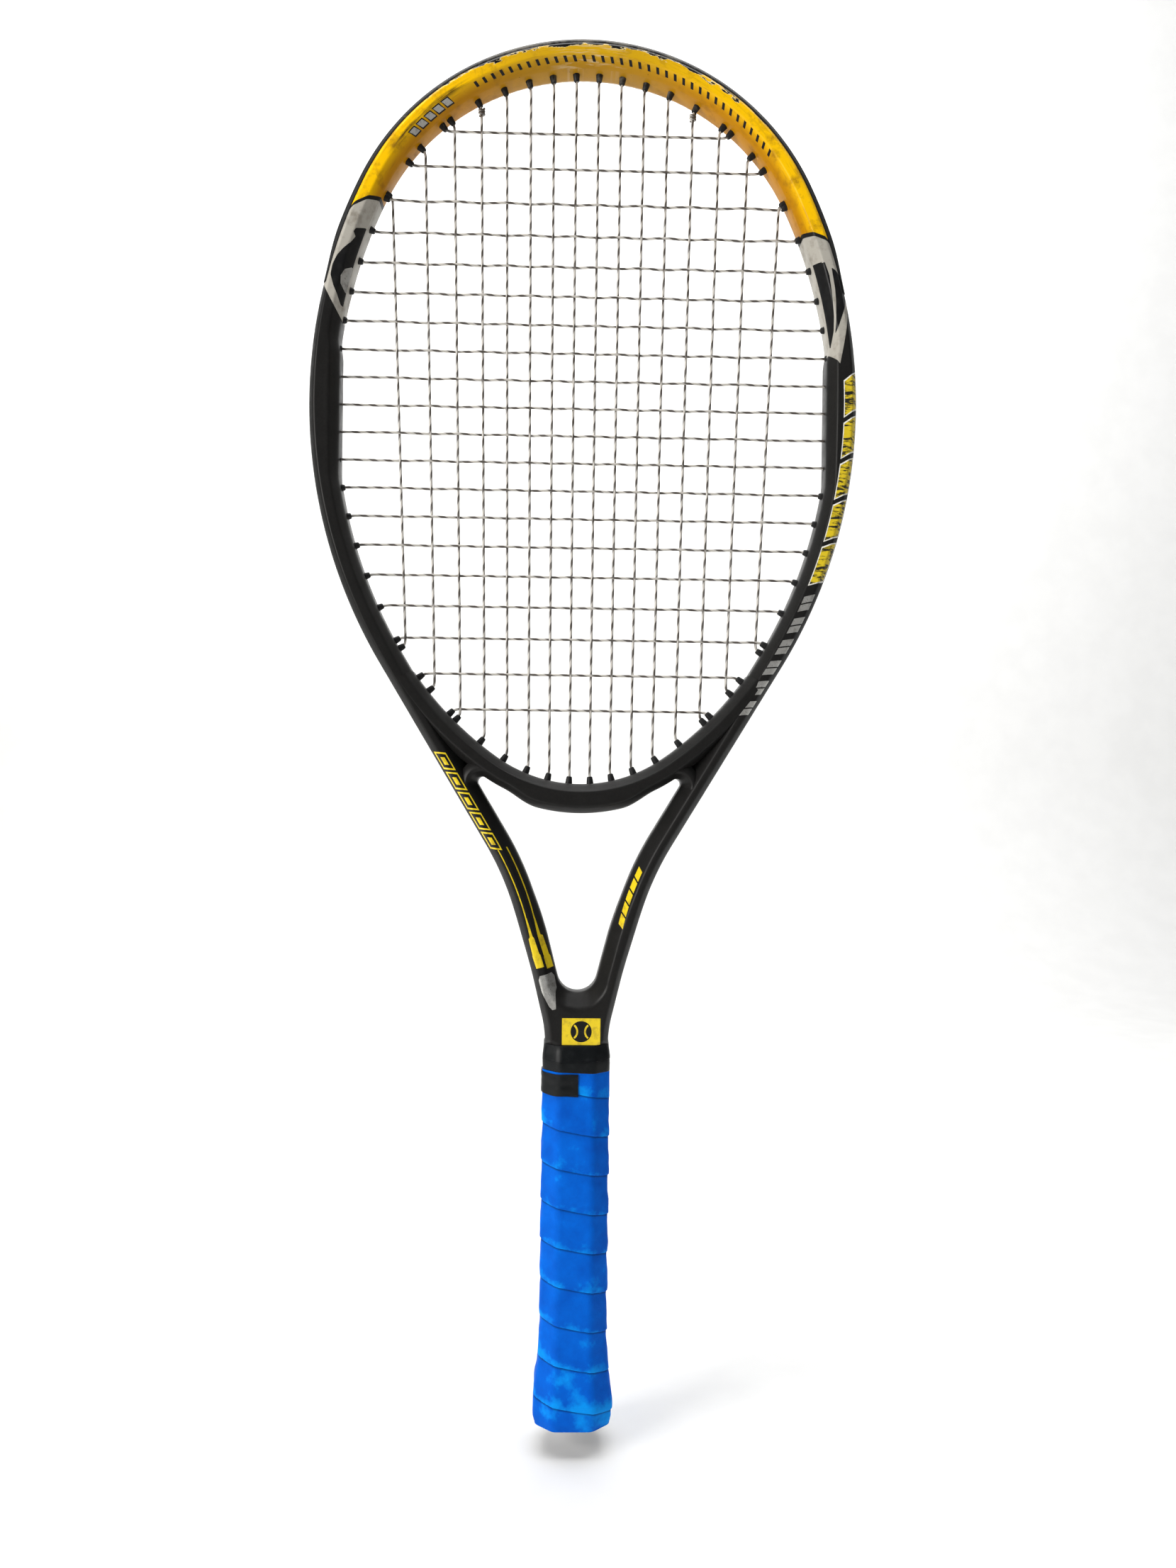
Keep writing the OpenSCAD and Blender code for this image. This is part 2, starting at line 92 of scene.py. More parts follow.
# Growth of the handle's width and depth towards the butt, at each height
FLARE_Z = [0.0, 0.6, 1.6, 4.0, 8.0, 13.0, 20.0, 28.0, 36.0, 44.0]
FLARE_MM = [2.2, 3.4, 4.4, 5.5, 5.95, 5.8, 4.2, 2.3, 0.7, 0.0]


# ---------- outline ----------
def out_of(heading):
    """Unit vectors out of the head: (sine, cosine) of the heading, in (x, z)."""
    a = np.radians(heading)
    return np.stack([np.sin(a), np.cos(a)], -1)


def down_along(heading):
    """Unit vectors along the right half, from crown to butt: (cosine, minus sine) of the heading."""
    a = np.radians(heading)
    return np.stack([np.cos(a), -np.sin(a)], -1)


def arc_length(radius, h0, h1):
    return radius * math.radians(abs(h1 - h0))


CROWN_C = np.array([0.0, CROWN_Z])
SIDE_C = CROWN_C + (CROWN_R - SIDE_R) * out_of(CROWN_END)
LOWER_C = SIDE_C + (SIDE_R - LOWER_R) * out_of(SIDE_END)
BRIDGE_R = LOWER_R + LOWER_C[0] / math.sin(math.radians(LOWER_END))
BRIDGE_C = LOWER_C + (LOWER_R - BRIDGE_R) * out_of(LOWER_END)


def knots(*runs):
    """Lengths and headings at the ends of runs of (length, heading at the end), from the crown."""
    length = np.cumsum([0.0] + [run[0] for run in runs])
    return length, np.array([0.0] + [run[1] for run in runs])


HOOP = ((arc_length(CROWN_R, 0, CROWN_END), CROWN_END), (arc_length(SIDE_R, CROWN_END, SIDE_END), SIDE_END))
SHAFT_KNOTS = knots(*HOOP, (UPPER_SHAFT, SIDE_END),
                    (arc_length(BEND_IN, SIDE_END, LOW_HEADING), LOW_HEADING), (LOWER_SHAFT, LOW_HEADING),
                    (arc_length(NECK_IN, LOW_HEADING, 90), 90.0), (SHAFT_END, 90.0))
BRIDGE_KNOTS = knots(*HOOP, (arc_length(LOWER_R, SIDE_END, LOWER_END), LOWER_END),
                     (arc_length(BRIDGE_R, LOWER_END, 180), 180.0))
CROWN_LEN, HEAD_LEN = SHAFT_KNOTS[0][1], SHAFT_KNOTS[0][2]
SHAFT_LEN = SHAFT_KNOTS[0][-1]
BRIDGE_LEN = BRIDGE_KNOTS[0][-1]
BEND_LEN = SHAFT_KNOTS[0][4]
BUMPER_LEN = CROWN_LEN + arc_length(SIDE_R, CROWN_END, BUMPER_END)


def follow(path_knots, s):
    """Places, outward vectors and headings at signed lengths s (left of the crown is negative).

    The heading runs evenly between knots, and the place is the running sum of small steps along it.
    """
    step = 0.25
    fine = np.arange(0, path_knots[0][-1] + 2 * step, step)
    heading = np.interp(fine, *path_knots)
    steps = down_along((heading[1:] + heading[:-1]) / 2) * step
    start = [0.0, CROWN_Z + CROWN_R]
    place = np.vstack([start, start + np.cumsum(steps, 0)])
    s = np.asarray(s, float)
    side = np.where(s < 0, -1.0, 1.0)
    x = np.interp(abs(s), fine, place[:, 0]) * side
    z = np.interp(abs(s), fine, place[:, 1])
    h = np.interp(abs(s), *path_knots)
    out = out_of(h)
    out[..., 0] *= side
    return np.stack([x, z], -1), out, h


def smooth(x, x0, x1):
    """Rises from 0 at x0 to 1 at x1 with level ends: 3t^2 - 2t^3."""
    t = np.clip((np.asarray(x, float) - x0) / (x1 - x0), 0, 1)
    return t * t * (3 - 2 * t)


def soft_min(a, b, width):
    """The lower of two values, rounded within width of where they meet.

    It is the minimum less (width - |a - b|)^2 / (4 width).
    """
    return np.minimum(a, b) - np.maximum(width - np.abs(a - b), 0) ** 2 / (4 * width)


# ---------- section of the moulded tube ----------
# Half depth where the flat face begins and its rise per mm, half height of the inner wall, width of the
# slope between them, and what the shafts, the inner pads and the window's round bottom add or take away
FACE_HALF, FACE_RISE = 12.1, 0.08
INNER_WALL, SHAFT_WALL_DROP = 5.8, 0.9
CREASE, SHAFT_CREASE, PAD_CREASE, WINDOW_CREASE = 3.6, 1.9, 0.6, 2.4
SHAFT_NARROWING = 1.5
# Easing of both edges, rounding between planes and at the neck, and the outer bevel's width and slope
EDGE_EASE, EASE_LENGTH = 0.9, 0.4
PLANE_ROUND, NECK_ROUND = 1.1, 0.8
BEVEL, BEVEL_SLOPE = 3.2, 1.5
GROOVE_DEPTH, GROOVE_LIP = 2.2, 0.15


def in_space(flat, y):
    """Joins (x, z) points and depths y into (x, y, z)."""
    return np.stack([flat[..., 0], y, flat[..., 1]], -1)


def tube_shape(s):
    """Half height of the flat inner wall, crease distance, inner and outer edges, along the tube."""
    a = np.abs(s)
    heading = np.interp(a, *SHAFT_KNOTS)
    pad = PAD_T * smooth(heading, PAD_H0 - PAD_FADE, PAD_H0 + PAD_EDGE)
    pad *= 1 - smooth(heading, PAD_H1 - PAD_EDGE, PAD_H1 + PAD_FADE)
    pad -= np.where(pad > 0, (1 - np.cos(np.radians(heading - 90))) * SIDE_R * pad / PAD_T, 0)
    shaft = smooth(a, HEAD_LEN - 20, HEAD_LEN + 50)
    wall = INNER_WALL - SHAFT_WALL_DROP * shaft
    crease = CREASE + SHAFT_CREASE * shaft + PAD_CREASE * pad / PAD_T
    outer = TUBE_W - SHAFT_NARROWING * smooth(a, BEND_LEN - 12, BEND_LEN + 28)
    return wall, crease, -pad, outer


def throat_edge(s, place, out):
    """How far each ring starts from the path, so that it ends on the window's edge or on the middle plane.

    The window's edge is a line that touches the round bottom, then the bottom circle itself.
    """
    side = np.where(s < 0, -1.0, 1.0)
    p = np.stack([place[:, 0] * side, place[:, 1]], -1) - np.array([0.0, THROAT_Z])
    o = np.stack([out[:, 0] * side, out[:, 1]], -1)
    normal = out_of(THROAT_HEADING)
    tangent = -down_along(THROAT_HEADING)
    on_line = (THROAT_R - p @ normal) / (o @ normal)
    b = np.sum(p * o, 1)
    inside = b * b - np.sum(p * p, 1) + THROAT_R ** 2
    on_circle = -b + np.sqrt(np.maximum(inside, 0))
    to_middle = -p[:, 0] / o[:, 0] - 0.02
    low = (p + on_line[:, None] * o) @ tangent < 0
    on_right = (inside > 0) & (p[:, 0] + on_circle * o[:, 0] > 0)
    hits = on_right & (p[:, 1] + on_circle * o[:, 1] > -THROAT_R)
    start = np.where(low, np.where(hits, on_circle, to_middle), on_line)
    # The window's edge takes over from the path where the shafts begin to bend
    share = smooth(np.abs(s), BEND_LEN - 18, BEND_LEN + 8)
    return np.where(np.abs(s) > BEND_LEN - 20, np.minimum(start * share, 0), 0.0)


def throat_distance(s, r, flat, start):
    """Distance from the window's edge: across the tube on the shafts, from the circle round its bottom.

    Gives the place from the circle's centre too, and where the circle is the one that counts.
    """
    p = np.stack([np.abs(flat[..., 0]), flat[..., 1] - THROAT_Z], -1)
    below = p @ (-down_along(THROAT_HEADING)) < 0
    low = below & np.broadcast_to(np.abs(s) > BEND_LEN, below.shape)
    return np.where(low, np.linalg.norm(p, axis=-1) - THROAT_R, r - start), p, low


def front_height(r, d, wall, crease, outer):
    """Half depth of the tube: the lowest of an inner slope, a nearly flat face and an outer bevel.

    The three planes are rounded where they meet, and both ends are eased off by a falling exponential.
    """
    slope = wall + (FACE_HALF - wall) * d / crease
    face = FACE_HALF + FACE_RISE * np.maximum(r - CREASE, 0)
    bevel = HALF_BEAM - BEVEL_SLOPE * (r - (outer - BEVEL))
    y = soft_min(soft_min(slope, face, PLANE_ROUND), bevel, PLANE_ROUND)
    return y - EDGE_EASE * (np.exp(-np.maximum(d, 0) / EASE_LENGTH) + np.exp(-(outer - r) / EASE_LENGTH))


# Shares of the slope's width, and distances in from the outer edge, at which the front has its points
INNER_COLUMNS = np.array([0, 0.03, 0.09, 0.2, 0.4, 0.62, 0.8, 0.9, 0.96, 1.0, 1.04, 1.12, 1.28])
OUTER_COLUMNS = np.array([4.4, 4.0, 3.6, 3.2, 2.8, 2.4, 1.9, 1.2, 0.6, 0.25, 0.08, 0.0])
MIDDLE_COLUMNS = 6


def spread_columns(start, crease, outer):
    """Distances across the front: close together at the crease and the bevel, even between them."""
    inner = start[:, None] + crease[:, None] * INNER_COLUMNS
    rim = outer[:, None] - OUTER_COLUMNS
    t = np.linspace(0, 1, MIDDLE_COLUMNS + 2)[1:-1]
    middle = inner[:, -1:] + (rim[:, :1] - inner[:, -1:]) * t
    return np.hstack([inner, middle, rim])


def tube_shell(path, r, y, groove, outer, paint_s):
    """Closed rings from front heights: front face, outer groove, back face. Its UVs are (s, r) in metres."""
    place, out = path
    floor, lip = outer - groove, outer - GROOVE_LIP
    wall_r = np.stack([outer, lip, floor, floor, lip, outer], 1)
    half = np.array([GROOVE_HALF + 2 * GROOVE_LIP, GROOVE_HALF, GROOVE_HALF])
    wall_y = np.concatenate([-half, half[::-1]]) * np.ones((len(r), 1))
    ring_r = np.hstack([r, wall_r, r[:, ::-1]])
    ring_y = np.hstack([-y, wall_y, y[:, ::-1]])
    uv = np.stack([np.broadcast_to(paint_s[:, None], ring_r.shape), ring_r], -1) * MM
    return shell(in_space(place[:, None] + ring_r[..., None] * out[:, None], ring_y),
                 uv=np.concatenate([uv, uv[:, :1]], 1))


def groove_depth(s):
    """Depth of the outer groove, fading out below the grommet strips."""
    return GROOVE_DEPTH * (1 - smooth(np.abs(s), HEAD_LEN + SIDE_STRIP, HEAD_LEN + SIDE_STRIP + 6))


def band_size(z):
    """Width and depth of the finishing tape at height z: the grip's, drawn in to the neck at the top."""
    shrink = 4.2 * smooth(z, 182.5, BAND_TOP + 0.1)
    return 34.1 - 0.35 * shrink, 30.1 - shrink


def neck_limit(x, z):
    """Half depth left for the neck inside the taped octagon at (x, z), and out of the way above the band.

    It is the octagon's face less its chamfer's slope times the distance past the corner.
    """
    wide, deep = (size / 2 for size in band_size(z))
    chamfer = np.maximum(np.abs(x) - 0.52 * wide, 0) * deep / wide
    return deep - 0.6 - chamfer + np.where(z < NECK_FREE, 12 * smooth(z, 190.5, NECK_FREE), 1000.0)


def tube_sections(s, place, out):
    """Inner wall, crease, start and outer edge of each ring, with the start moved to the throat's window."""
    wall, crease, start, outer = tube_shape(s)
    return wall, crease, np.minimum(start, throat_edge(s, place, out)), outer


def tube_height(s, r, flat, sections):
    """Half depth of the tube at length s and distance r, whose (x, z) is flat.

    The crease widens with the square of how steeply a place lies below the window's round bottom.
    """
    wall, crease, start, outer = sections
    d, p, low = throat_distance(s, r, flat, start)
    steep = np.clip(-p[..., 1] / np.maximum(np.linalg.norm(p, axis=-1), 1e-6), 0, 1)
    crease = crease + np.where(low, WINDOW_CREASE * steep ** 2, 0)
    height = front_height(r, d, wall, crease, outer)
    return soft_min(height, neck_limit(flat[..., 0], flat[..., 1]), NECK_ROUND)


def frame_front(s, r):
    """Front surface of the hoop and shafts at length s and distance r: its (x, y, z)."""
    s, r = np.broadcast_arrays(np.asarray(s, float), np.asarray(r, float))
    place, out, _ = follow(SHAFT_KNOTS, s)
    sections = tube_sections(s.ravel(), place.reshape(-1, 2), out.reshape(-1, 2))
    flat = place + r[..., None] * out
    return in_space(flat, -tube_height(s, r, flat, [part.reshape(s.shape) for part in sections]))


def neck_front(x, z):
    """Front surface of the neck at (x, z): the nearest place of the right half's path gives s and r."""
    s = np.linspace(HEAD_LEN + 120, SHAFT_LEN, 900)
    place, out, _ = follow(SHAFT_KNOTS, s)
    q = np.stack([np.abs(x), z], -1)
    near = np.argmin(((q[..., None, :] - place) ** 2).sum(-1), -1)
    r = ((q - place[near]) * out[near]).sum(-1)
    front = frame_front(s[near], r)
    return np.stack([x, front[..., 1], z], -1)


# ---------- holes and strings ----------
def edge(heading, r=0.0):
    """Point on the right half of the head's outline, r outside the string-side edge."""
    h = np.asarray(heading, float)
    on_arc = [h <= end for end in (CROWN_END, SIDE_END, LOWER_END)]
    centre = np.select([arc[..., None] for arc in on_arc], [CROWN_C, SIDE_C, LOWER_C], BRIDGE_C)
    radius = np.select(on_arc, [CROWN_R, SIDE_R, LOWER_R], BRIDGE_R)
    return centre + (radius + r)[..., None] * out_of(h)


def main_x(v):
    """Place of main v across the crown: an even pitch that widens with the cube of v."""
    return 11.5 * v + 0.03 * v ** 3


def cross_z(u):
    """Height of cross u: an even pitch that widens with the cube of u."""
    return 507.0 + 14.0 * u + 0.0173 * u ** 3


def heading_at_z(z):
    """Heading of the hole whose tip lies at height z: the arc cosine on whichever arc holds it."""
    crown, side, lower = (
        np.degrees(np.arccos(np.clip((z - centre[1]) / radius, -1, 1)))
        for centre, radius in ((CROWN_C, CROWN_R - TIP), (SIDE_C, SIDE_R - 1), (LOWER_C, LOWER_R - TIP)))
    return np.select([z > edge(CROWN_END)[1], z > edge(SIDE_END)[1]], [crown, side], lower)


def crown_heading(x):
    """Heading of a main's hole in the crown, at x across it."""
    return np.minimum(CROWN_END, np.degrees(np.arcsin(np.minimum(1, x / (CROWN_R - TIP)))))


def throat_heading(x):
    """Heading of a main's hole in the throat, at x across it: on the bridge's arc or the one beside it."""
    near = x < edge(LOWER_END, -TIP)[0]
    sine = np.where(near, x / (BRIDGE_R - TIP), (x - LOWER_C[0]) / (LOWER_R - TIP))
    return 180 - np.degrees(np.arcsin(np.clip(sine, -1, 1)))


def reach(heading):
    """Length of a hole from the string side to the outer face, right through a shaft where it meets one."""
    normal = out_of(SIDE_END)
    across = TUBE_W + (edge(SIDE_END) - edge(heading)) @ normal
    across /= np.maximum(out_of(heading) @ normal, 0.2)
    return np.where((heading <= SIDE_END) | (heading >= LOWER_END), TUBE_W, across)


def barrel_show(heading):
    """Length of barrel inside the head: long at the crown and throat, short at the sides."""
    return 1.0 + (TIP - 0.6) * np.minimum(1, 1.6 * np.abs(np.cos(np.radians(heading))))


def hole_exit(heading):
    return edge(heading, reach(heading) - TUBE_W + LOOP_R)


def hole_tip(heading):
    return edge(heading, -barrel_show(heading) - 0.6)


V = np.arange(MAINS) - (MAINS - 1) / 2
U = (CROSSES - 1) / 2 - np.arange(CROSSES)
MAIN_TOP = crown_heading(main_x(np.abs(V)))
MAIN_LOW = throat_heading(main_x(np.abs(V)) * THROAT_FAN)
CROSS_H = heading_at_z(cross_z(U))


def flipped(points, side):
    """Mirrors (x, z) points to the left where side is negative."""
    return points * np.array([1.0 if side > 0 else -1.0, 1.0])


def length_along(points):
    """Length from the first point of a polyline to each of its points."""
    return np.concatenate([[0], np.cumsum(np.linalg.norm(np.diff(points, axis=0), axis=1))])


def even_points(points, step):
    """Points along a polyline, evenly spaced, with corners softened by two passes of (1, 2, 1) / 4."""
    length = length_along(points)
    s = np.linspace(0, length[-1], max(int(length[-1] / step), 4))
    made = np.stack([np.interp(s, length, points[:, k]) for k in range(points.shape[1])], -1)
    for _ in range(2):
        made[1:-1] = (made[:-2] + 2 * made[1:-1] + made[2:]) / 4
    return made


def loop_run(h0, h1, side0, side1):
    """The run outside the frame between two holes: along the groove, or straight past a corner."""
    t = np.linspace(0, 1, LOOP_POINTS)
    if side0 != side1:
        start, end = (-h0, h1) if max(h0, h1) < 90 else (h0, 360 - h1)
        return edge(start + (end - start) * t, LOOP_R)
    if max(h0, h1) < SIDE_END or min(h0, h1) > LOWER_END:
        return flipped(edge(h0 + (h1 - h0) * t, LOOP_R), side0)
    a, b = hole_exit(np.array(h0)), hole_exit(np.array(h1))
    return flipped(a + (b - a) * t[:, None], side0)


def weave(along, stops, phase, depth, ends):
    """Depth of a string where it goes over and under: the cosine of pi times the crossing number.

    Crossing numbers come from the place along the string; the wave fades out towards the two ends.
    """
    order = np.argsort(stops)
    number = np.arange(len(stops), dtype=float)[order]
    first, last = stops[order[0]], stops[order[-1]]
    index = np.interp(along, stops[order], number)
    fade = smooth(along, ends[0], first) * (1 - smooth(along, last, ends[1]))
    return depth * np.cos(np.pi * (index + phase)) * fade


def string_path(count, ends_of, stops_of, phases, depth, loops):
    """One string up and down (or to and fro) through all its holes, as evenly spaced (x, y, z) points."""
    runs = []
    for k in range(count):
        exit_a, tip_a, tip_b, exit_b = ends_of(k)
        bed = tip_a + (tip_b - tip_a) * np.linspace(0, 1, BED_POINTS)[:, None]
        axis = 1 if abs(tip_b[1] - tip_a[1]) > abs(tip_b[0] - tip_a[0]) else 0
        y = weave(bed[:, axis], stops_of(k), phases[k], depth, sorted([tip_a[axis], tip_b[axis]]))
        runs.append(in_space(np.vstack([exit_a, bed, exit_b]), np.pad(y, 1)))
        if k < count - 1:
            runs.append(in_space(loops(k), np.zeros(LOOP_POINTS)))
    return even_points(np.vstack(runs), STRING_STEP)


# ---------- meshes ----------
def linear(hex_text):
    """Turns an sRGB hex colour into linear red, green and blue."""
    c = np.array([int(hex_text[i:i + 2], 16) for i in (1, 3, 5)]) / 255
    return tuple(np.where(c <= 0.04045, c / 12.92, ((c + 0.055) / 1.055) ** 2.4))


def rgba(colour):
    return (*colour[:3], 1.0)


def ink(hex_text):
    """A hex colour as a node's socket takes it."""
    return rgba(linear(hex_text))


def shell(points, wrap=(False, True), uv=None, caps=True, finish=0):
    """One closed surface from a grid of points: its vertices, faces and face-corner UVs.

    Quads join neighbouring rows and columns, wrapping where asked; caps close the first and last rows.
    The faces are turned to point outwards, which the sign of the enclosed volume tells.
    """
    rows, cols = points.shape[:2]
    steps = (np.arange(rows if wrap[0] else rows - 1), np.arange(cols if wrap[1] else cols - 1))
    r, c = (index.ravel() for index in np.meshgrid(*steps, indexing="ij"))
    corners = ((r, c), (r, c + 1), (r + 1, c + 1), (r + 1, c))
    quads = np.stack([(i % rows) * cols + j % cols for i, j in corners], 1)
    flat = points.reshape(-1, 3)
    if uv is None:
        uv = np.zeros((rows + 1, cols + 1, 2))
    last_row, last_col = uv.shape[0] - 1, uv.shape[1] - 1
    uvs = np.stack([uv[np.minimum(i, last_row), np.minimum(j, last_col)] for i, j in corners], 1)
    uvs = uvs.reshape(-1, 2)
    a, b, d, e = (flat[quads[:, k]] - flat.mean(0) for k in range(4))
    volume = np.einsum("ij,ij->", a, np.cross(b, d) + np.cross(d, e))
    faces = quads.tolist()
    if caps and not wrap[0] and wrap[1]:
        faces += [list(range(cols))[::-1], list(range((rows - 1) * cols, rows * cols))]
        uvs = np.vstack([uvs, uv[0, :cols][::-1], uv[-1, :cols]])
    if volume < 0:
        # A face's corners from place a to place b change places: p becomes a + b - p
        sizes = np.array([len(face) for face in faces])
        ends = np.cumsum(sizes)
        uvs = uvs[np.repeat(2 * ends - sizes - 1, sizes) - np.arange(ends[-1])]
        faces = [face[::-1] for face in faces]
    return flat, faces, uvs, finish


def make_piece(name, shells, materials, stands_for=(), sharp=38):
    """Joins shells into one object at the origin, in metres, with its UV map, materials and slot."""
    faces, finishes, base = [], [], 0
    for flat, shell_faces, _, finish in shells:
        faces += [[i + base for i in face] for face in shell_faces]
        finishes += [finish] * len(shell_faces)
        base += len(flat)
    mesh = bpy.data.meshes.new(name)
    mesh.from_pydata((np.vstack([flat for flat, _, _, _ in shells]) * MM).tolist(), [], faces)
    layer = mesh.uv_layers.new(name="surface")
    uvs = np.vstack([uv for _, _, uv, _ in shells])
    layer.data.foreach_set("uv", uvs.astype(np.float32).ravel())
    for material in materials:
        mesh.materials.append(material)
    mesh.polygons.foreach_set("material_index", np.array(finishes, dtype=np.int32))
    mesh.shade_smooth()
    mesh.set_sharp_from_angle(angle=math.radians(sharp))
    mesh.update()
    if mesh.validate():
        raise RuntimeError(f"{name}: faces were not valid")
    piece = bpy.data.objects.new(name, mesh)
    bpy.context.scene.collection.objects.link(piece)
    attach(piece, "racket")
    if stands_for:
        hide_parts(*stands_for)


def circle(sides):
    """Cosines and sines of evenly spaced angles round a circle."""
    angle = np.linspace(0, 2 * np.pi, sides, endpoint=False)
    return np.cos(angle), np.sin(angle)


def tube_along(points, radius, sides):
    """A round tube: a circle carried along points, turned by each tangent crossed with the Y axis.

    UVs hold the length along it in metres and the turn round it from 0 to 1.
    """
    tangent = np.gradient(points, axis=0)
    tangent /= np.linalg.norm(tangent, axis=1)[:, None]
    side = np.cross(tangent, [0.0, 1.0, 0.0])
    side /= np.linalg.norm(side, axis=1)[:, None]
    up = np.cross(side, tangent)
    cosine, sine = (wave[None, :, None] for wave in circle(sides))
    grid = points[:, None] + radius * (cosine * side[:, None] + sine * up[:, None])
    turn = np.linspace(0, 1, sides + 1)
    return shell(grid, uv=np.stack(np.broadcast_arrays(length_along(points)[:, None] * MM, turn), -1))


def thick_patch(front, lift, finish, sink=0.18):
    """A thin skin on the front of the frame: its grid lifted off the surface and closed by a sunk copy.

    The way up is the normal of the grid, from the cross product of its two gradients, turned to the front.
    """
    across = np.cross(np.gradient(front, axis=0), np.gradient(front, axis=1))
    normal = across / np.maximum(np.linalg.norm(across, axis=-1), 1e-9)[..., None]
    normal *= np.where(normal[..., 1:2] > 0, -1, 1)
    top, under = front + lift * normal, front - sink * normal
    flat, faces, uvs, _ = shell(np.concatenate([top, under[:, ::-1]], 1), caps=False)
    rows, cols = front.shape[:2]
    # Quads across both ends, between the lifted and the sunk edge
    k = np.arange(cols - 1)
    quads = np.stack([k, k + 1, 2 * cols - 2 - k, 2 * cols - 1 - k], 1)
    ends = quads.tolist() + (quads + (rows - 1) * 2 * cols)[:, ::-1].tolist()
    return flat, faces + ends, np.vstack([uvs, np.zeros((4 * len(ends), 2))]), finish


def painted_band(stops, grid, lift, finish):
    """A skin on the frame's front between two edges, both given at stops of (length, inner r, outer r)."""
    stops = np.array(sorted(stops), float)
    s = np.linspace(stops[0, 0], stops[-1, 0], grid[0])
    low, high = (np.interp(s, stops[:, 0], stops[:, k]) for k in (1, 2))
    t = np.linspace(0, 1, grid[1])
    front = frame_front(s[:, None] * np.ones(grid[1]), low[:, None] + (high - low)[:, None] * t)
    return thick_patch(front, lift, finish)


def leaning_block(ends, r0, r1, lean, grid, lift, finish):
    """A skin for a leaning block on the frame's front: length shifts by lean over its width."""
    t = np.linspace(0, 1, grid[1])
    s = np.linspace(*ends, grid[0])[:, None] + lean * (t - 0.5)
    return thick_patch(frame_front(s, np.broadcast_to(r0 + (r1 - r0) * t, s.shape)), lift, finish)


def both_faces(patches):
    """The same skins on the back of the frame too, mirrored through the string bed."""
    return patches + [(flat * [1, -1, 1], [face[::-1] for face in faces], uv, finish)
                      for flat, faces, uv, finish in patches]


# ---------- nodes ----------
def result_of(node):
    """The output of a node that is in use: its first enabled one."""
    return next(output for output in node.outputs if output.enabled)


def add_node(tree, kind, sockets, **settings):
    """Adds one shader node: sets its properties, then fills sockets with values or links."""
    made = tree.nodes.new("ShaderNode" + kind)
    for key, value in settings.items():
        setattr(made, key, value)
    for key, value in sockets.items():
        if isinstance(value, bpy.types.Node):
            value = result_of(value)
        if isinstance(value, bpy.types.NodeSocket):
            tree.links.new(value, made.inputs[key])
        else:
            made.inputs[key].default_value = value
    return made


def new_material(name, **shader):
    """A node material with one Principled shader, its constant sockets set directly.

    Gives the material, a call that adds a node to it, and its object and surface coordinates.
    """
    material = bpy.data.materials.new(name)
    material.use_nodes = True
    material.node_tree.nodes.clear()
    add = functools.partial(add_node, material.node_tree)
    surface = add("BsdfPrincipled", {key.replace("_", " "): value for key, value in shader.items()})
    add("OutputMaterial", {"Surface": surface})
    where = add("TexCoord", {})
    return material, add, where.outputs["Object"], where.outputs["UV"]


def finish_shader(material, colour, roughness, height, strength, depth):
    """Links the colour, any roughness and a bump of the given height into the Principled shader."""
    tree = material.node_tree
    bump = add_node(tree, "Bump", {"Height": height, "Strength": strength, "Distance": depth})
    surface = tree.nodes["Principled BSDF"]
    for socket, node in (("Base Color", colour), ("Roughness", roughness), ("Normal", bump)):
        if node is not None:
            tree.links.new(result_of(node), surface.inputs[socket])
    return material


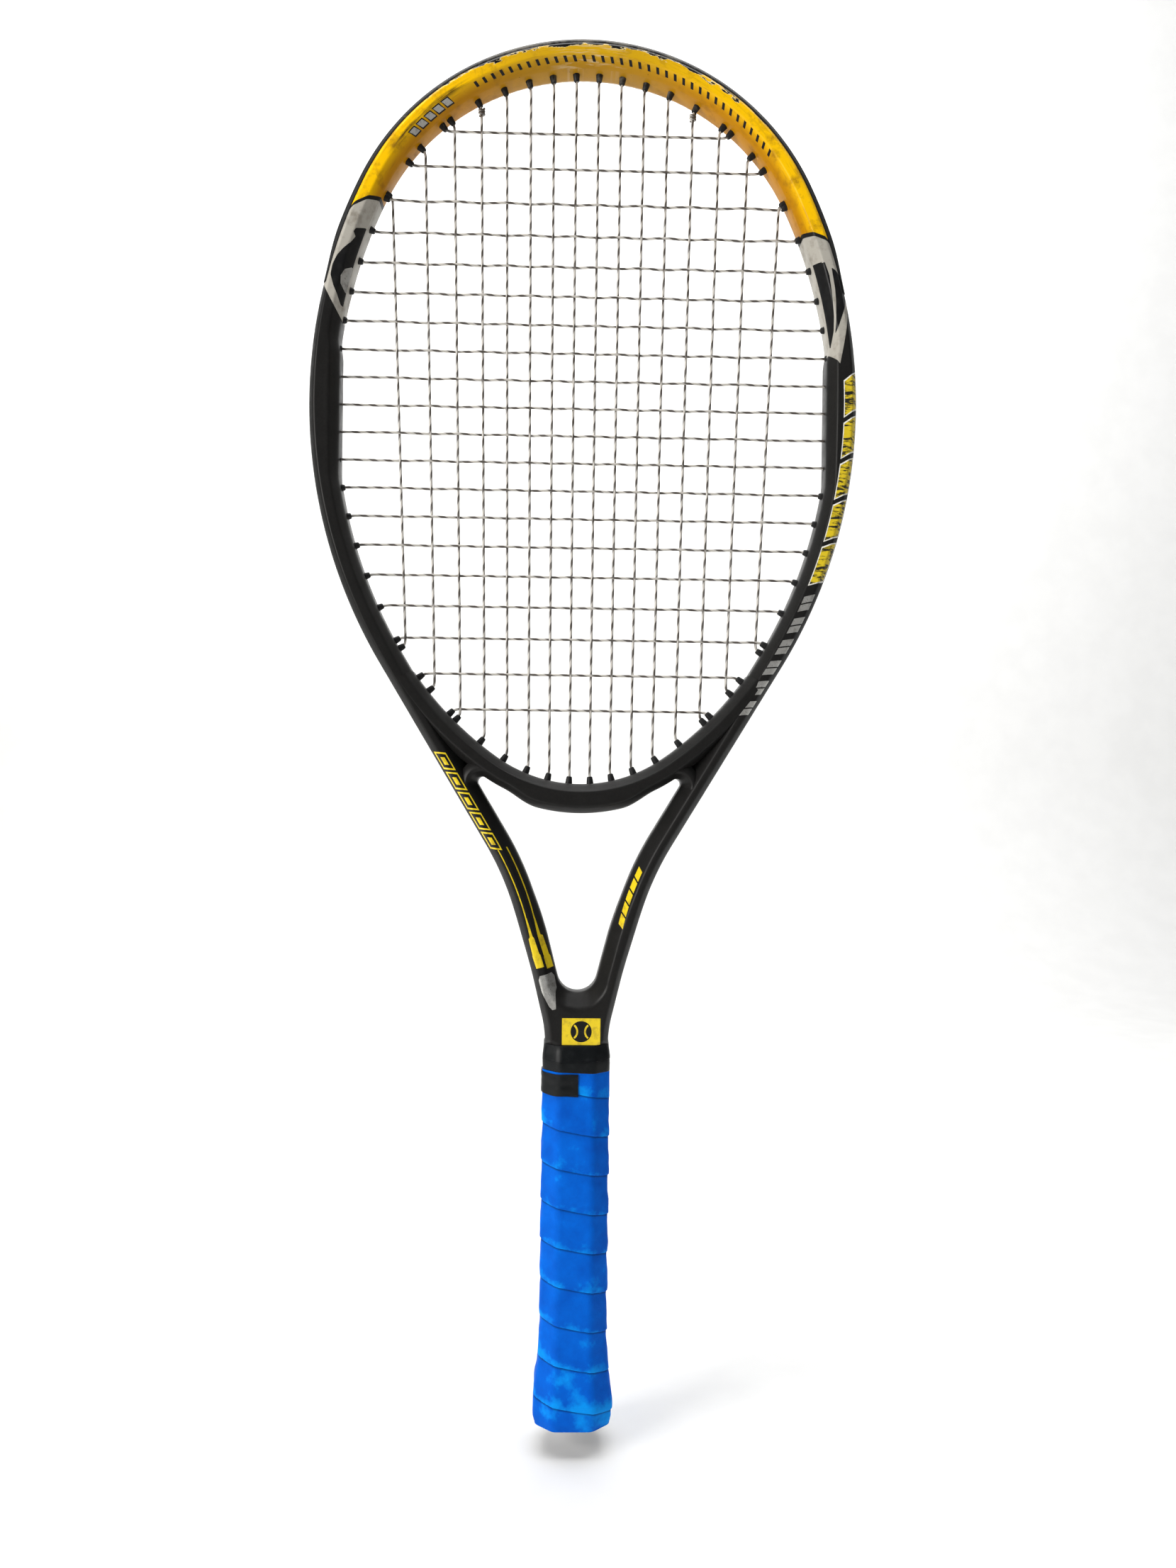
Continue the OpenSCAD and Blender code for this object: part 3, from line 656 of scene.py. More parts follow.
def lacquer_material(name, colours):
    """Polyurethane lacquer, sprayed over carbon fibre: satin black, with a painted crown and silver ends.

    Satin clear coat gives soft long highlights; the yellow paint is chipped and rubbed at its outer edge,
    and painted shade darkens its inner slope.
    """
    material, add, place, uv = new_material(name, Roughness=0.36, IOR=1.5, Specular_IOR_Level=0.13,
                                            Coat_Weight=0.03, Coat_Roughness=0.2)
    surf = add("SeparateXYZ", {0: uv})
    s, r = (add("Math", {0: surf.outputs[k], 1: 1 / MM}, operation="MULTIPLY") for k in (0, 1))
    right = add("Math", {0: s, 1: 0.0}, operation="GREATER_THAN")
    away = add("Math", {0: s}, operation="ABSOLUTE")
    # Ends of the yellow: a slanted edge at 131 mm on the left and 146 mm on the right of the crown
    base = add("Math", {0: right, 1: 15.0, 2: 131.0}, operation="MULTIPLY_ADD")
    lean = add("Math", {0: right, 1: -0.3, 2: 1.15}, operation="MULTIPLY_ADD")
    yellow_end = add("Math", {0: r, 1: lean, 2: base}, operation="MULTIPLY_ADD")
    past = add("Math", {0: away, 1: yellow_end}, operation="SUBTRACT")
    yellow = add("MapRange", {0: past, 1: 0.1, 2: -0.1})
    # Silver begins after a black line 2.2 mm wide and ends on a slant, or on two slants on the right
    begins = add("MapRange", {0: past, 1: 2.1, 2: 2.3})
    left_end, upper_end, lower_end = (
        add("Math", {0: r, 1: slant, 2: start}, operation="MULTIPLY_ADD")
        for slant, start in ((-1.2, 196.0), (-3.3, 226.0), (1.6, 211.0)))
    right_end = add("Math", {0: upper_end, 1: lower_end}, operation="MINIMUM")
    silver_end = add("Mix", {0: right, 2: left_end, 3: right_end})
    left_over = add("Math", {0: silver_end, 1: away}, operation="SUBTRACT")
    ends = add("MapRange", {0: left_over, 1: -0.1, 2: 0.1})
    silver = add("Math", {0: begins, 1: ends}, operation="MULTIPLY")
    # Broad stains about 8 mm across, a fine grain, and streaks and chips stretched along the tube
    stain = add("TexNoise", {"Vector": place, "Scale": 120.0, "Detail": 6.0, "Roughness": 0.65})
    fine = add("TexNoise", {"Vector": place, "Scale": 900.0, "Detail": 3.0})
    streak, chip = (
        add("TexNoise", {"Vector": add("Mapping", {"Vector": uv, "Scale": scale}), "Scale": 1.0,
                         "Detail": detail, "Roughness": 0.6})
        for scale, detail in (((60.0, 900.0, 1.0), 4.0), ((95.0, 330.0, 1.0), 5.0)))
    # Painted shade: yellow turns to orange-brown on the inner slope, which the light reaches least
    inner_slope_shade = add("MapRange", {0: r, 1: 4.6, 2: 0.6}, interpolation_type="SMOOTHSTEP")
    dirty = add("MapRange", {0: stain, 1: 0.52, 2: 0.72, 4: 0.75})
    streaky = add("MapRange", {0: streak, 1: 0.55, 2: 0.75, 4: 0.55})
    grime = add("Math", {0: dirty, 1: streaky}, operation="MAXIMUM")
    # The top of the crown is darker and duller: partly worn paint on its face, partly painted shade where
    # its inner slope faces down
    crown_top_wear_and_shade = add("MapRange", {0: away, 1: 74.0, 2: 18.0, 4: 0.55}, interpolation_type="SMOOTHSTEP")
    # A broken grimy streak runs along the left crease, at 58 to 114 mm from the middle
    smear = add("MapRange", {0: streak, 1: 0.38, 2: 0.56})
    for distance, middle, out_at, full_at in ((s, 86.0, 28.0, 16.0), (r, -4.6, 1.7, 0.3)):
        off = add("Math", {0: distance, 1: middle}, operation="ADD")
        off = add("Math", {0: off}, operation="ABSOLUTE")
        near = add("MapRange", {0: off, 1: out_at, 2: full_at})
        smear = add("Math", {0: smear, 1: near}, operation="MULTIPLY")
    # A pale scuff in the middle of the crown
    scuff = add("MapRange", {0: away, 1: 20.0, 2: 6.0})
    ragged = add("MapRange", {0: streak, 1: 0.5, 2: 0.66, 4: 0.6})
    scuff = add("Math", {0: scuff, 1: ragged}, operation="MULTIPLY")
    # Chips along the outer bevel near the crown: cream primer at their rims, black laminate inside
    outward = add("MapRange", {0: r, 1: 4.9, 2: 9.0})
    crown = add("MapRange", {0: away, 1: 110.0, 2: 50.0, 3: 0.12, 4: 1.0})
    wear = add("Math", {0: outward, 1: crown}, operation="MULTIPLY")
    chance = add("Math", {0: wear, 1: 0.34, 2: chip}, operation="MULTIPLY_ADD")
    primer = add("MapRange", {0: chance, 1: 0.722, 2: 0.73})
    bare = add("MapRange", {0: chance, 1: 0.742, 2: 0.75})
    speck = add("MapRange", {0: fine, 1: 0.74, 2: 0.76})
    bare = add("Math", {0: bare, 1: speck}, operation="MAXIMUM")
    worn = add("MapRange", {0: stain, 1: 0.5, 2: 0.7, 4: 0.8})
    paint = rgba(colours.paint)
    for share, tone in ((inner_slope_shade, rgba(colours.paint_shade)), (grime, ink("#8A5A0C")), (crown_top_wear_and_shade, ink("#A07C1C")),
                        (smear, ink("#4A3610")), (scuff, ink("#E4D9B8")), (primer, ink("#E9D8A4")),
                        (bare, ink("#141312"))):
        paint = add("Mix", {0: share, 6: paint, 7: tone}, data_type="RGBA")
    colour = rgba(colours.lacquer)
    metal = add("Mix", {0: worn, 6: rgba(colours.silver), 7: ink("#7D776C")}, data_type="RGBA")
    for share, tone in ((fine, ink("#201F1E")), (yellow, paint), (silver, metal)):
        colour = add("Mix", {0: share, 6: colour, 7: tone}, data_type="RGBA")
    rough = add("MapRange", {0: stain, 1: 0.3, 2: 0.75, 3: 0.3, 4: 0.5})
    height = add("Math", {0: bare, 1: -1.0, 2: fine}, operation="MULTIPLY_ADD")
    height = add("Math", {0: height, 1: yellow}, operation="MULTIPLY")
    height = add("Math", {0: fine, 1: 0.35, 2: height}, operation="MULTIPLY_ADD")
    return finish_shader(material, colour, rough, height, 0.25, 0.00015)


def nylon_material(name, base, light, scuff):
    """Nylon, injection moulded: dull black with a fine grain, scraped grey where it meets the court."""
    material, add, place, _ = new_material(name, Roughness=0.5, IOR=1.53, Specular_IOR_Level=0.25)
    grain = add("TexNoise", {"Vector": place, "Scale": 1400.0, "Detail": 2.0})
    patch = add("TexNoise", {"Vector": place, "Scale": 160.0, "Detail": 8.0, "Roughness": 0.7})
    high = add("MapRange", {0: add("SeparateXYZ", {0: place}).outputs[2], 1: 0.66, 2: 0.698})
    chance = add("Math", {0: high, 1: 0.22, 2: patch}, operation="MULTIPLY_ADD")
    scraped = add("MapRange", {0: chance, 1: 0.62, 2: 0.78, 4: scuff})
    colour = add("Mix", {0: scraped, 6: ink(base), 7: ink(light)}, data_type="RGBA")
    rough = add("MapRange", {0: patch, 1: 0.3, 2: 0.7, 3: 0.42, 4: 0.66})
    return finish_shader(material, colour, rough, grain, 0.35, 0.0001)


def string_material(name, colours):
    """Polyester monofilament, two twisted colours: pale and dark stripes wind round it every 8 mm."""
    material, add, place, uv = new_material(name, Roughness=0.3, IOR=1.57, Coat_Weight=0.3,
                                            Coat_Roughness=0.15)
    surf = add("SeparateXYZ", {0: uv})
    turns = add("Math", {0: surf.outputs[0], 1: 1 / TWIST, 2: surf.outputs[1]}, operation="MULTIPLY_ADD")
    wobble = add("TexNoise", {"Vector": place, "Scale": 90.0, "Detail": 3.0})
    turns = add("Math", {0: wobble, 1: 0.35, 2: turns}, operation="MULTIPLY_ADD")
    angle = add("Math", {0: turns, 1: 2 * math.pi}, operation="MULTIPLY")
    wave = add("Math", {0: angle}, operation="SINE")
    stripe = add("MapRange", {0: wave, 1: -0.35, 2: 0.25})
    colour = add("Mix", {0: stripe, 6: rgba(colours.string_dark), 7: rgba(colours.string_pale)},
                 data_type="RGBA")
    return finish_shader(material, colour, None, wave, 0.35, 0.0001)


def overgrip_material(name, colours):
    """Polyurethane overgrip with a felted face: matt blue, with painted shade under the edge of each lap,
    rubbed pale at the laps.
    """
    material, add, place, uv = new_material(name, Roughness=0.72, IOR=1.45, Specular_IOR_Level=0.08,
                                            Sheen_Weight=0.05, Sheen_Roughness=0.5,
                                            Sheen_Tint=ink("#0A7CFF"))
    lap = add("Math", {0: add("SeparateXYZ", {0: uv}).outputs[1]}, operation="FRACT")
    # Painted shade: a dark blue band just below the edge of the lap above, where its overhang shades it
    lap_shadow = add("MapRange", {0: lap, 1: 0.93, 2: 1.0}, interpolation_type="SMOOTHSTEP")
    rim = add("MapRange", {0: lap, 1: 0.42, 2: 0.02}, interpolation_type="SMOOTHSTEP")
    cloud = add("TexNoise", {"Vector": place, "Scale": 75.0, "Detail": 5.0, "Roughness": 0.6})
    nap = add("TexNoise", {"Vector": place, "Scale": 1600.0, "Detail": 3.0})
    pores = add("TexVoronoi", {"Vector": place, "Scale": 900.0})
    tone = add("MapRange", {0: cloud, 1: 0.3, 2: 0.7})
    rubbed = add("Math", {0: rim, 1: 0.16, 2: cloud}, operation="MULTIPLY_ADD")
    # The foot, where the heel of the hand rests, is rubbed most
    foot = add("MapRange", {0: add("SeparateXYZ", {0: place}).outputs[2], 1: 0.052, 2: 0.008, 4: 0.13})
    rubbed = add("Math", {0: rubbed, 1: foot}, operation="ADD")
    rubbed = add("MapRange", {0: rubbed, 1: 0.62, 2: 0.8, 4: 0.8})
    # The painted shade under each lap is mixed in as a deep blue
    dark = add("Math", {0: lap_shadow, 1: 0.75}, operation="MULTIPLY")
    colour = rgba(colours.grip_deep)
    for share, other in ((tone, rgba(colours.grip)), (rubbed, rgba(colours.grip_worn)),
                         (dark, ink("#00264F"))):
        colour = add("Mix", {0: share, 6: colour, 7: other}, data_type="RGBA")
    height = add("Math", {0: pores, 1: 0.5, 2: nap}, operation="MULTIPLY_ADD")
    return finish_shader(material, colour, None, height, 0.5, 0.0002)


def film_material(name, base, other, rough, metallic=0.0, level=0.5):
    """Printed film or tape: one ink, mottled by wear about 4 mm across, with a faint wrinkle in it."""
    material, add, place, _ = new_material(name, Roughness=rough, IOR=1.5, Metallic=metallic,
                                           Specular_IOR_Level=level)
    wear = add("TexNoise", {"Vector": place, "Scale": 260.0, "Detail": 6.0, "Roughness": 0.7})
    worn = add("MapRange", {0: wear, 1: 0.5, 2: 0.72})
    colour = add("Mix", {0: worn, 6: ink(base), 7: ink(other)}, data_type="RGBA")
    spread = add("MapRange", {0: wear, 1: 0.3, 2: 0.7, 3: rough * 0.8, 4: min(rough * 1.3, 1.0)})
    return finish_shader(material, colour, spread, wear, 0.2, 0.0001)


def streaked_material(name):
    """Yellow ink screened over black in ragged streaks, as on the blocks of the right side."""
    material, add, place, _ = new_material(name, Roughness=0.38, IOR=1.5)
    thin = add("Mapping", {"Vector": place, "Scale": (130.0, 130.0, 620.0)})
    streak = add("TexNoise", {"Vector": thin, "Scale": 1.0, "Detail": 5.0, "Roughness": 0.7})
    gone = add("MapRange", {0: streak, 1: 0.49, 2: 0.56})
    colour = add("Mix", {0: gone, 6: ink("#D9BE1E"), 7: ink("#191A12")}, data_type="RGBA")
    return finish_shader(material, colour, None, streak, 0.1, 0.0001)


def plain_material(name, base, other, rough, scale, strength, **shader):
    """A moulded, foamed or drawn material with two mixed tones and a grain of the given scale."""
    material, add, place, _ = new_material(name, Roughness=rough, **shader)
    grain = add("TexNoise", {"Vector": place, "Scale": scale, "Detail": 4.0})
    cloud = add("TexNoise", {"Vector": place, "Scale": scale / 12, "Detail": 3.0})
    tone = add("MapRange", {0: cloud, 1: 0.35, 2: 0.65})
    colour = add("Mix", {0: tone, 6: ink(base), 7: ink(other)}, data_type="RGBA")
    spread = add("MapRange", {0: grain, 1: 0.3, 2: 0.7, 3: rough * 0.85, 4: min(rough * 1.2, 1.0)})
    return finish_shader(material, colour, spread, grain, strength, 0.0002)


# ---------- settings ----------
def length_setting(name, description, value_mm):
    return bpy.props.FloatProperty(name=name, description=description, default=value_mm * MM, unit="LENGTH",
                                   subtype="DISTANCE", min=0.0)


def colour_setting(name, description, hex_text):
    return bpy.props.FloatVectorProperty(name=name, description=description, default=linear(hex_text),
                                         subtype="COLOR", size=3, min=0.0, max=1.0)


class RacketSizes(bpy.types.PropertyGroup):
    """Sizes of the pieces that this file adds round the CAD frame."""

    string_gauge: length_setting("String gauge", "Diameter of the string", 1.3)
    weave_depth: length_setting("Weave depth", "How far a string swings to each side of the bed", 0.66)
    guard_height: length_setting("Guard height", "How far the bumper guard stands proud at the crown", 1.8)
    grip_width: length_setting("Grip width", "Width of the wrapped handle in the plane of the strings", 34.0)
    grip_depth: length_setting("Grip depth", "Depth of the wrapped handle across the strings", 30.0)
    wrap_pitch: length_setting("Wrap pitch", "Height between neighbouring laps of the overgrip", 19.6)
    lap_step: length_setting("Lap step", "Height of the step where a lap crosses the one below", 0.6)


class RacketColours(bpy.types.PropertyGroup):
    """Colours of the lacquer, strings and overgrip."""

    lacquer: colour_setting("Lacquer", "Satin black of the frame", "#161616")
    paint: colour_setting("Crown paint", "Yellow of the crown", "#F6C000")
    # Painted shade: this darker yellow stands in for the shadow on the crown's inner slope
    paint_shade: colour_setting("Crown paint, inner slope", "Yellow where it turns inwards", "#B47A00")
    silver: colour_setting("Silver", "Silver between the crown paint and the black", "#A9A59C")
    string_pale: colour_setting("String, pale strand", "Pale colour of the twisted string", "#B9B4AC")
    string_dark: colour_setting("String, dark strand", "Dark colour of the twisted string", "#4A433C")
    grip: colour_setting("Overgrip", "Blue of the overgrip", "#0068DA")
    grip_deep: colour_setting("Overgrip, deep", "Deeper blue in patches of the overgrip", "#0052BC")
    grip_worn: colour_setting("Overgrip, worn", "Pale blue where the overgrip is rubbed", "#089AF4")


def shared_material(name, make, *details):
    """A material that several pieces use: made once, then found by name."""
    return bpy.data.materials.get(name) or make(name, *details)


def lacquer_of(context):
    return shared_material("satin polyurethane lacquer", lacquer_material, context.scene.racket_colours)


# ---------- operators ----------
class FrameBuilder(bpy.types.Operator):
    """Sweeps the wedge-shaped tube round the hoop and down both shafts to the neck"""

    bl_idname = "racket.build_frame"
    bl_label = "Frame tube"

    def execute(self, context):
        # The last run puts rings close together where the window's bottom meets the middle plane
        runs = ((0, CROWN_LEN, 50), (CROWN_LEN, HEAD_LEN, 90), (HEAD_LEN, BEND_LEN, 50),
                (BEND_LEN, SHAFT_LEN, 90), (558, 568, 50))
        half = np.unique(np.concatenate([np.linspace(*run) for run in runs]))
        s = np.concatenate([-half[:0:-1], half])
        place, out, _ = follow(SHAFT_KNOTS, s)
        sections = tube_sections(s, place, out)
        _, crease, start, outer = sections
        r = spread_columns(start, crease, outer)
        flat = place[:, None] + r[..., None] * out[:, None]
        y = tube_height(s[:, None], r, flat, [part[:, None] for part in sections])
        skin = tube_shell((place, out), r, y, groove_depth(s), outer, s)
        make_piece("frame_skin", [skin], [lacquer_of(context)], ["frame_tube"])
        return {"FINISHED"}


class BridgeBuilder(bpy.types.Operator):
    """Sweeps the bridge that closes the head above the open throat, with its two rounded corners"""

    bl_idname = "racket.build_bridge"
    bl_label = "Throat bridge"

    def execute(self, context):
        half = np.linspace(HEAD_LEN + 12, BRIDGE_LEN, 90)
        s = np.concatenate([half, 2 * BRIDGE_LEN - half[-2::-1]])
        place, out, _ = follow(BRIDGE_KNOTS, np.where(s > BRIDGE_LEN, s - 2 * BRIDGE_LEN, s))
        away = np.abs(s - BRIDGE_LEN)
        # The lower edge is 3 mm fuller round the middle
        outer = TUBE_W + 3.0 * (1 - smooth(away, 18, 34))
        crease = np.full(len(s), 3.8)
        r = spread_columns(np.zeros(len(s)), crease, outer)
        y = front_height(r, r, INNER_WALL, crease[:, None], outer[:, None])
        groove = GROOVE_DEPTH * (1 - smooth(away, 40, 44))
        # Held past the painted part of the paint's map
        skin = tube_shell((place, out), r, y, groove, outer, s + 300.0)
        make_piece("bridge_skin", [skin] + self.corners(), [lacquer_of(context)],
                   ["throat_bridge"])
        return {"FINISHED"}

    @staticmethod
    def corners():
        """Fills both sharp corners under the bridge: a sweep about a circle touching bridge and shaft."""
        radius = 2.6
        reach_out = BRIDGE_R + TUBE_W + radius
        normal = out_of(SIDE_END)
        # The circle's centre is its radius from the shaft's inner face and touches the bridge's outer arc
        target = edge(SIDE_END) @ normal - radius - BRIDGE_C @ normal
        angle = SIDE_END + np.degrees(np.arccos(target / reach_out))
        centre = BRIDGE_C + reach_out * out_of(angle)
        # It turns from straight up the bridge's normal round to the shaft's normal
        start, end = angle - 180, SIDE_END
        heading = np.linspace(start - 12, end + 12, 40)
        share = smooth(heading, start, end)
        d = np.concatenate([[0, 0.15, 0.5], np.linspace(1, 9, 15)])
        wall = (HALF_BEAM - BEVEL_SLOPE * BEVEL) * (1 - share) + (INNER_WALL - 1.0) * share
        crease = 3.0 * (1 - share) + 5.6 * share
        slope = wall[:, None] + (FACE_HALF - wall[:, None]) * d / crease[:, None]
        # The face sinks with the square of the distance past the crease, and most in the middle of the turn
        sunk = 0.11 * np.maximum(d - CREASE, 0) ** 2 + 0.7 * np.sin(np.pi * share)[:, None]
        y = soft_min(slope, FACE_HALF - 0.1 - sunk, PLANE_ROUND) - EDGE_EASE * np.exp(-d / EASE_LENGTH)
        flat = centre + (radius + d)[None, :, None] * out_of(heading)[:, None]
        ring = np.concatenate([in_space(flat, -y), in_space(flat, y)[:, ::-1]], 1)
        # Held beside the black part of the paint's map
        uv = np.broadcast_to([0.5, 0.006], (len(heading), ring.shape[1] + 1, 2))
        return [shell(ring * [side, 1, 1], uv=uv) for side in (1, -1)]


# Radius at eight places along a grommet barrel, from the outer face to the hollow of its rounded tip
BARREL_R = np.array([1.7, 1.85, 1.8, 1.62, 1.45, 1.15, 0.85, 0.72])


def barrels(headings, side):
    """Grommet barrels: a circle carried out along each hole, narrowing to a rounded tip inside the head.

    Places along a barrel and its radii are one profile, which every barrel shares, turned to its heading.
    """
    cosine, sine = (BARREL_R[:, None] * wave for wave in circle(14))
    made = []
    for h, show, deep in zip(headings, barrel_show(headings), reach(headings) - 1.6):
        along = np.array([deep, 0.6, 0.0, -0.45 * show, -0.85 * show, -show, -show - 0.05, -show + 0.2])
        centre = edge(h) + along[:, None] * out_of(h)
        flat = centre[:, None] + cosine[..., None] * down_along(h)
        made.append(shell(in_space(flat * [side, 1], sine)))
    return made


def strip(path_knots, s, profile, scale=1.0):
    """A moulded strip: a closed (r, y) profile carried along the outline, scaled above the strip's top."""
    place, out, _ = follow(path_knots, s)
    above = np.maximum(profile[:, 0] - STRIP_TOP, 0) * np.reshape(scale, (-1, 1))
    r = np.minimum(profile[:, 0], STRIP_TOP) + above * np.ones((len(s), 1))
    flat = place[:, None] + r[..., None] * out[:, None]
    return shell(in_space(flat, np.broadcast_to(profile[:, 1], r.shape)))


def eased_corners(corners, cut, count=4):
    """Rounds a polygon's corners: a quadratic curve through points cut back along both edges."""
    p = np.asarray(corners, float)
    back, ahead = np.roll(p, 1, 0) - p, np.roll(p, -1, 0) - p
    a, b = (p + way / length * np.minimum(cut, 0.48 * length)
            for way, length in ((way, np.linalg.norm(way, axis=1)[:, None]) for way in (back, ahead)))
    t = np.linspace(0, 1, count)[None, :, None]
    return ((1 - t) ** 2 * a[:, None] + 2 * t * (1 - t) * p[:, None] + t ** 2 * b[:, None]).reshape(-1, 2)


class GuardBuilder(bpy.types.Operator):
    """Sweeps the bumper guard round the crown and adds the grommet barrels that it carries"""

    bl_idname = "racket.build_guard"
    bl_label = "Bumper guard"

    def execute(self, context):
        top = TUBE_W + context.scene.racket_sizes.guard_height / MM
        end = BUMPER_LEN - 0.5
        s = np.linspace(-end, end, 190)
        face = [(STRIP_R, -4.2), (TUBE_W + 0.05, -4.2), (TUBE_W + 0.05, -6.4), (TUBE_W - 0.6, -8.6),
                (TUBE_W - 2.4, -9.6), (TUBE_W - 1.9, -10.5), (TUBE_W - 0.6, -10.4), (TUBE_W + 1.1, -8.7),
                (top, -5.6), (top, -2.4), (STRIP_TOP, -2.4)]
        corners = face + [(r, -y) for r, y in face[::-1]]
        # Its last 28 mm thin out to under half its height
        taper = 0.45 + 0.55 * (1 - smooth(np.abs(s), end - 28, end))
        shells = [strip(SHAFT_KNOTS, s, eased_corners(corners, 0.6), taper)]
        for side in (1, -1):
            shells += barrels(MAIN_TOP[V * side > 0], side) + barrels(CROSS_H[CROSS_H < BUMPER_END], side)
        nylon = shared_material("moulded nylon, scuffed", nylon_material, "#161616", "#6E6A62", 0.75)
        make_piece("bumper_guard_moulded", shells, [nylon], ["bumper_guard"])
        return {"FINISHED"}


class GrommetBuilder(bpy.types.Operator):
    """Builds the side and throat grommet strips with their barrels"""

    bl_idname = "racket.build_grommets"
    bl_label = "Grommet strips"

    def execute(self, context):
        nylon = shared_material("moulded nylon, plain", nylon_material, "#141415", "#3A3A3A", 0.4)
        half_w = GROOVE_HALF - 0.25
        profile = eased_corners([(STRIP_R, -half_w), (STRIP_TOP, -half_w), (STRIP_TOP, half_w),
                                 (STRIP_R, half_w)], 0.3)
        s = np.linspace(BUMPER_LEN + 0.3, HEAD_LEN + SIDE_STRIP, 110)
        for side, name in ((1, "right_grommet_strip"), (-1, "left_grommet_strip")):
            shells = [strip(SHAFT_KNOTS, s * side, profile)]
            shells += barrels(CROSS_H[CROSS_H >= BUMPER_END], side)
            shells += barrels(MAIN_LOW[(V * side > 0) & (MAIN_LOW < LOWER_END)], side)
            make_piece(name + "_moulded", shells, [nylon], [name])
        half = np.linspace(HEAD_LEN + arc_length(LOWER_R, SIDE_END, LOWER_END) + 3, BRIDGE_LEN, 40)
        shells = [strip(BRIDGE_KNOTS, half, profile), strip(BRIDGE_KNOTS, -half, profile)]
        for side in (1, -1):
            shells += barrels(MAIN_LOW[(V * side > 0) & (MAIN_LOW >= LOWER_END)], side)
        make_piece("throat_grommet_strip_moulded", shells, [nylon],
                   ["throat_grommet_strip"])
        return {"FINISHED"}


class StringBuilder(bpy.types.Operator):
    """Weaves the mains and crosses over and under each other, through every grommet"""

    bl_idname = "racket.build_strings"
    bl_label = "Strings"

    def execute(self, context):
        sizes = context.scene.racket_sizes
        gauge, depth = sizes.string_gauge / MM, sizes.weave_depth / MM
        filament = shared_material("twisted polyester monofilament", string_material,
                                   context.scene.racket_colours)
        side = np.sign(V)
        heights = cross_z(U)

        def main_ends(k):
            low, top = MAIN_LOW[k], MAIN_TOP[k]
            up = [flipped(f(np.array(h)), side[k])
                  for f, h in ((hole_exit, low), (hole_tip, low), (hole_tip, top), (hole_exit, top))]
            return up if k % 2 == 1 else up[::-1]

        def main_loop(k):
            head = MAIN_LOW if k % 2 == 0 else MAIN_TOP
            return loop_run(head[k], head[k + 1], side[k], side[k + 1])

        def cross_ends(j):
            way = 1 if j % 2 == 0 else -1
            h = np.array(CROSS_H[j])
            return [flipped(f(h), way * end)
                    for f, end in ((hole_exit, -1), (hole_tip, -1), (hole_tip, 1), (hole_exit, 1))]

        def cross_loop(j):
            way = 1 if j % 2 == 0 else -1
            return loop_run(CROSS_H[j], CROSS_H[j + 1], way, way)

        def main_places(j):
            """Where the mains stand at the height of cross j: between their places at crown and throat."""
            top, low = hole_tip(MAIN_TOP), hole_tip(MAIN_LOW)
            t = (heights[j] - low[:, 1]) / (top[:, 1] - low[:, 1])
            return side * (low[:, 0] + (top[:, 0] - low[:, 0]) * t)

        mains = string_path(MAINS, main_ends, lambda k: heights, np.arange(MAINS), depth, main_loop)
        crosses = string_path(CROSSES, cross_ends, main_places, np.arange(CROSSES) + 1, depth, cross_loop)
        for name, shells in (("main", [tube_along(mains, gauge / 2, 10)] + self.tie_offs(gauge)),
                             ("cross", [tube_along(crosses, gauge / 2, 10)])):
            make_piece(name + "_strings", shells, [filament], [name + "_string"], 60)
        return {"FINISHED"}

    @staticmethod
    def tie_offs(gauge):
        """Two tie-off knots: a helix of 2.4 turns round a main just below its barrel."""
        made = []
        t = np.linspace(0, 1, 90)
        turn = t * 2 * np.pi * 2.4
        wide, down = gauge * 0.98, 0.2 + 3.4 * t
        for v in (-4.5, 4.5):
            k = int(np.where(V == v)[0][0])
            top, low = (flipped(hole_tip(np.array(head[k])), v) for head in (MAIN_TOP, MAIN_LOW))
            axis = (low - top) / np.linalg.norm(low - top)
            flat = top + axis * down[:, None] + np.stack([wide * np.cos(turn), 0.35 * np.sin(turn)], -1)
            made.append(tube_along(in_space(flat, wide * np.sin(turn)), gauge / 2 * 0.95, 8))
        return made


def octagon_ring(width, depth):
    """A rounded octagon as (x, y) points, counterclockwise from the middle of the back."""
    w, d = width / 2, depth / 2
    cw, cd = w - 0.24 * width, d - 0.24 * depth
    corners = [(cw, d), (-cw, d), (-w, cd), (-w, -cd), (-cw, -d), (cw, -d), (w, -cd), (w, cd)]
    return np.roll(eased_corners(corners, OCTAGON_CUT, OCTAGON_POINTS), -OCTAGON_POINTS, axis=0)


def outward(ring, gradient):
    """Unit normals of a closed or open ring of (x, y) points: its tangents turned by a quarter."""
    ahead = gradient(ring)
    normal = np.stack([ahead[..., 1], -ahead[..., 0]], -1)
    return normal / np.maximum(np.linalg.norm(normal, axis=-1), 1e-9)[..., None]


def sleeve_points(heights, widths, depths, relief=0.0):
    """A sleeve of rounded octagons, one for each height, moved out along its normal by the relief."""
    rings = np.stack([octagon_ring(w, d) for w, d in zip(widths, depths)])
    normal = outward(rings, lambda ring: np.roll(ring, -1, 1) - np.roll(ring, 1, 1))
    z = np.broadcast_to(heights[:, None], rings.shape[:2])
    relief = np.broadcast_to(relief, rings.shape[:2])
    return np.concatenate([rings + normal * relief[..., None], z[..., None]], -1)


def ring_share():
    """Share of the way round at each point of the octagon ring, by length."""
    ring = octagon_ring(34.0, 30.0)
    length = length_along(np.vstack([ring, ring[:1]]))
    return length / length[-1]


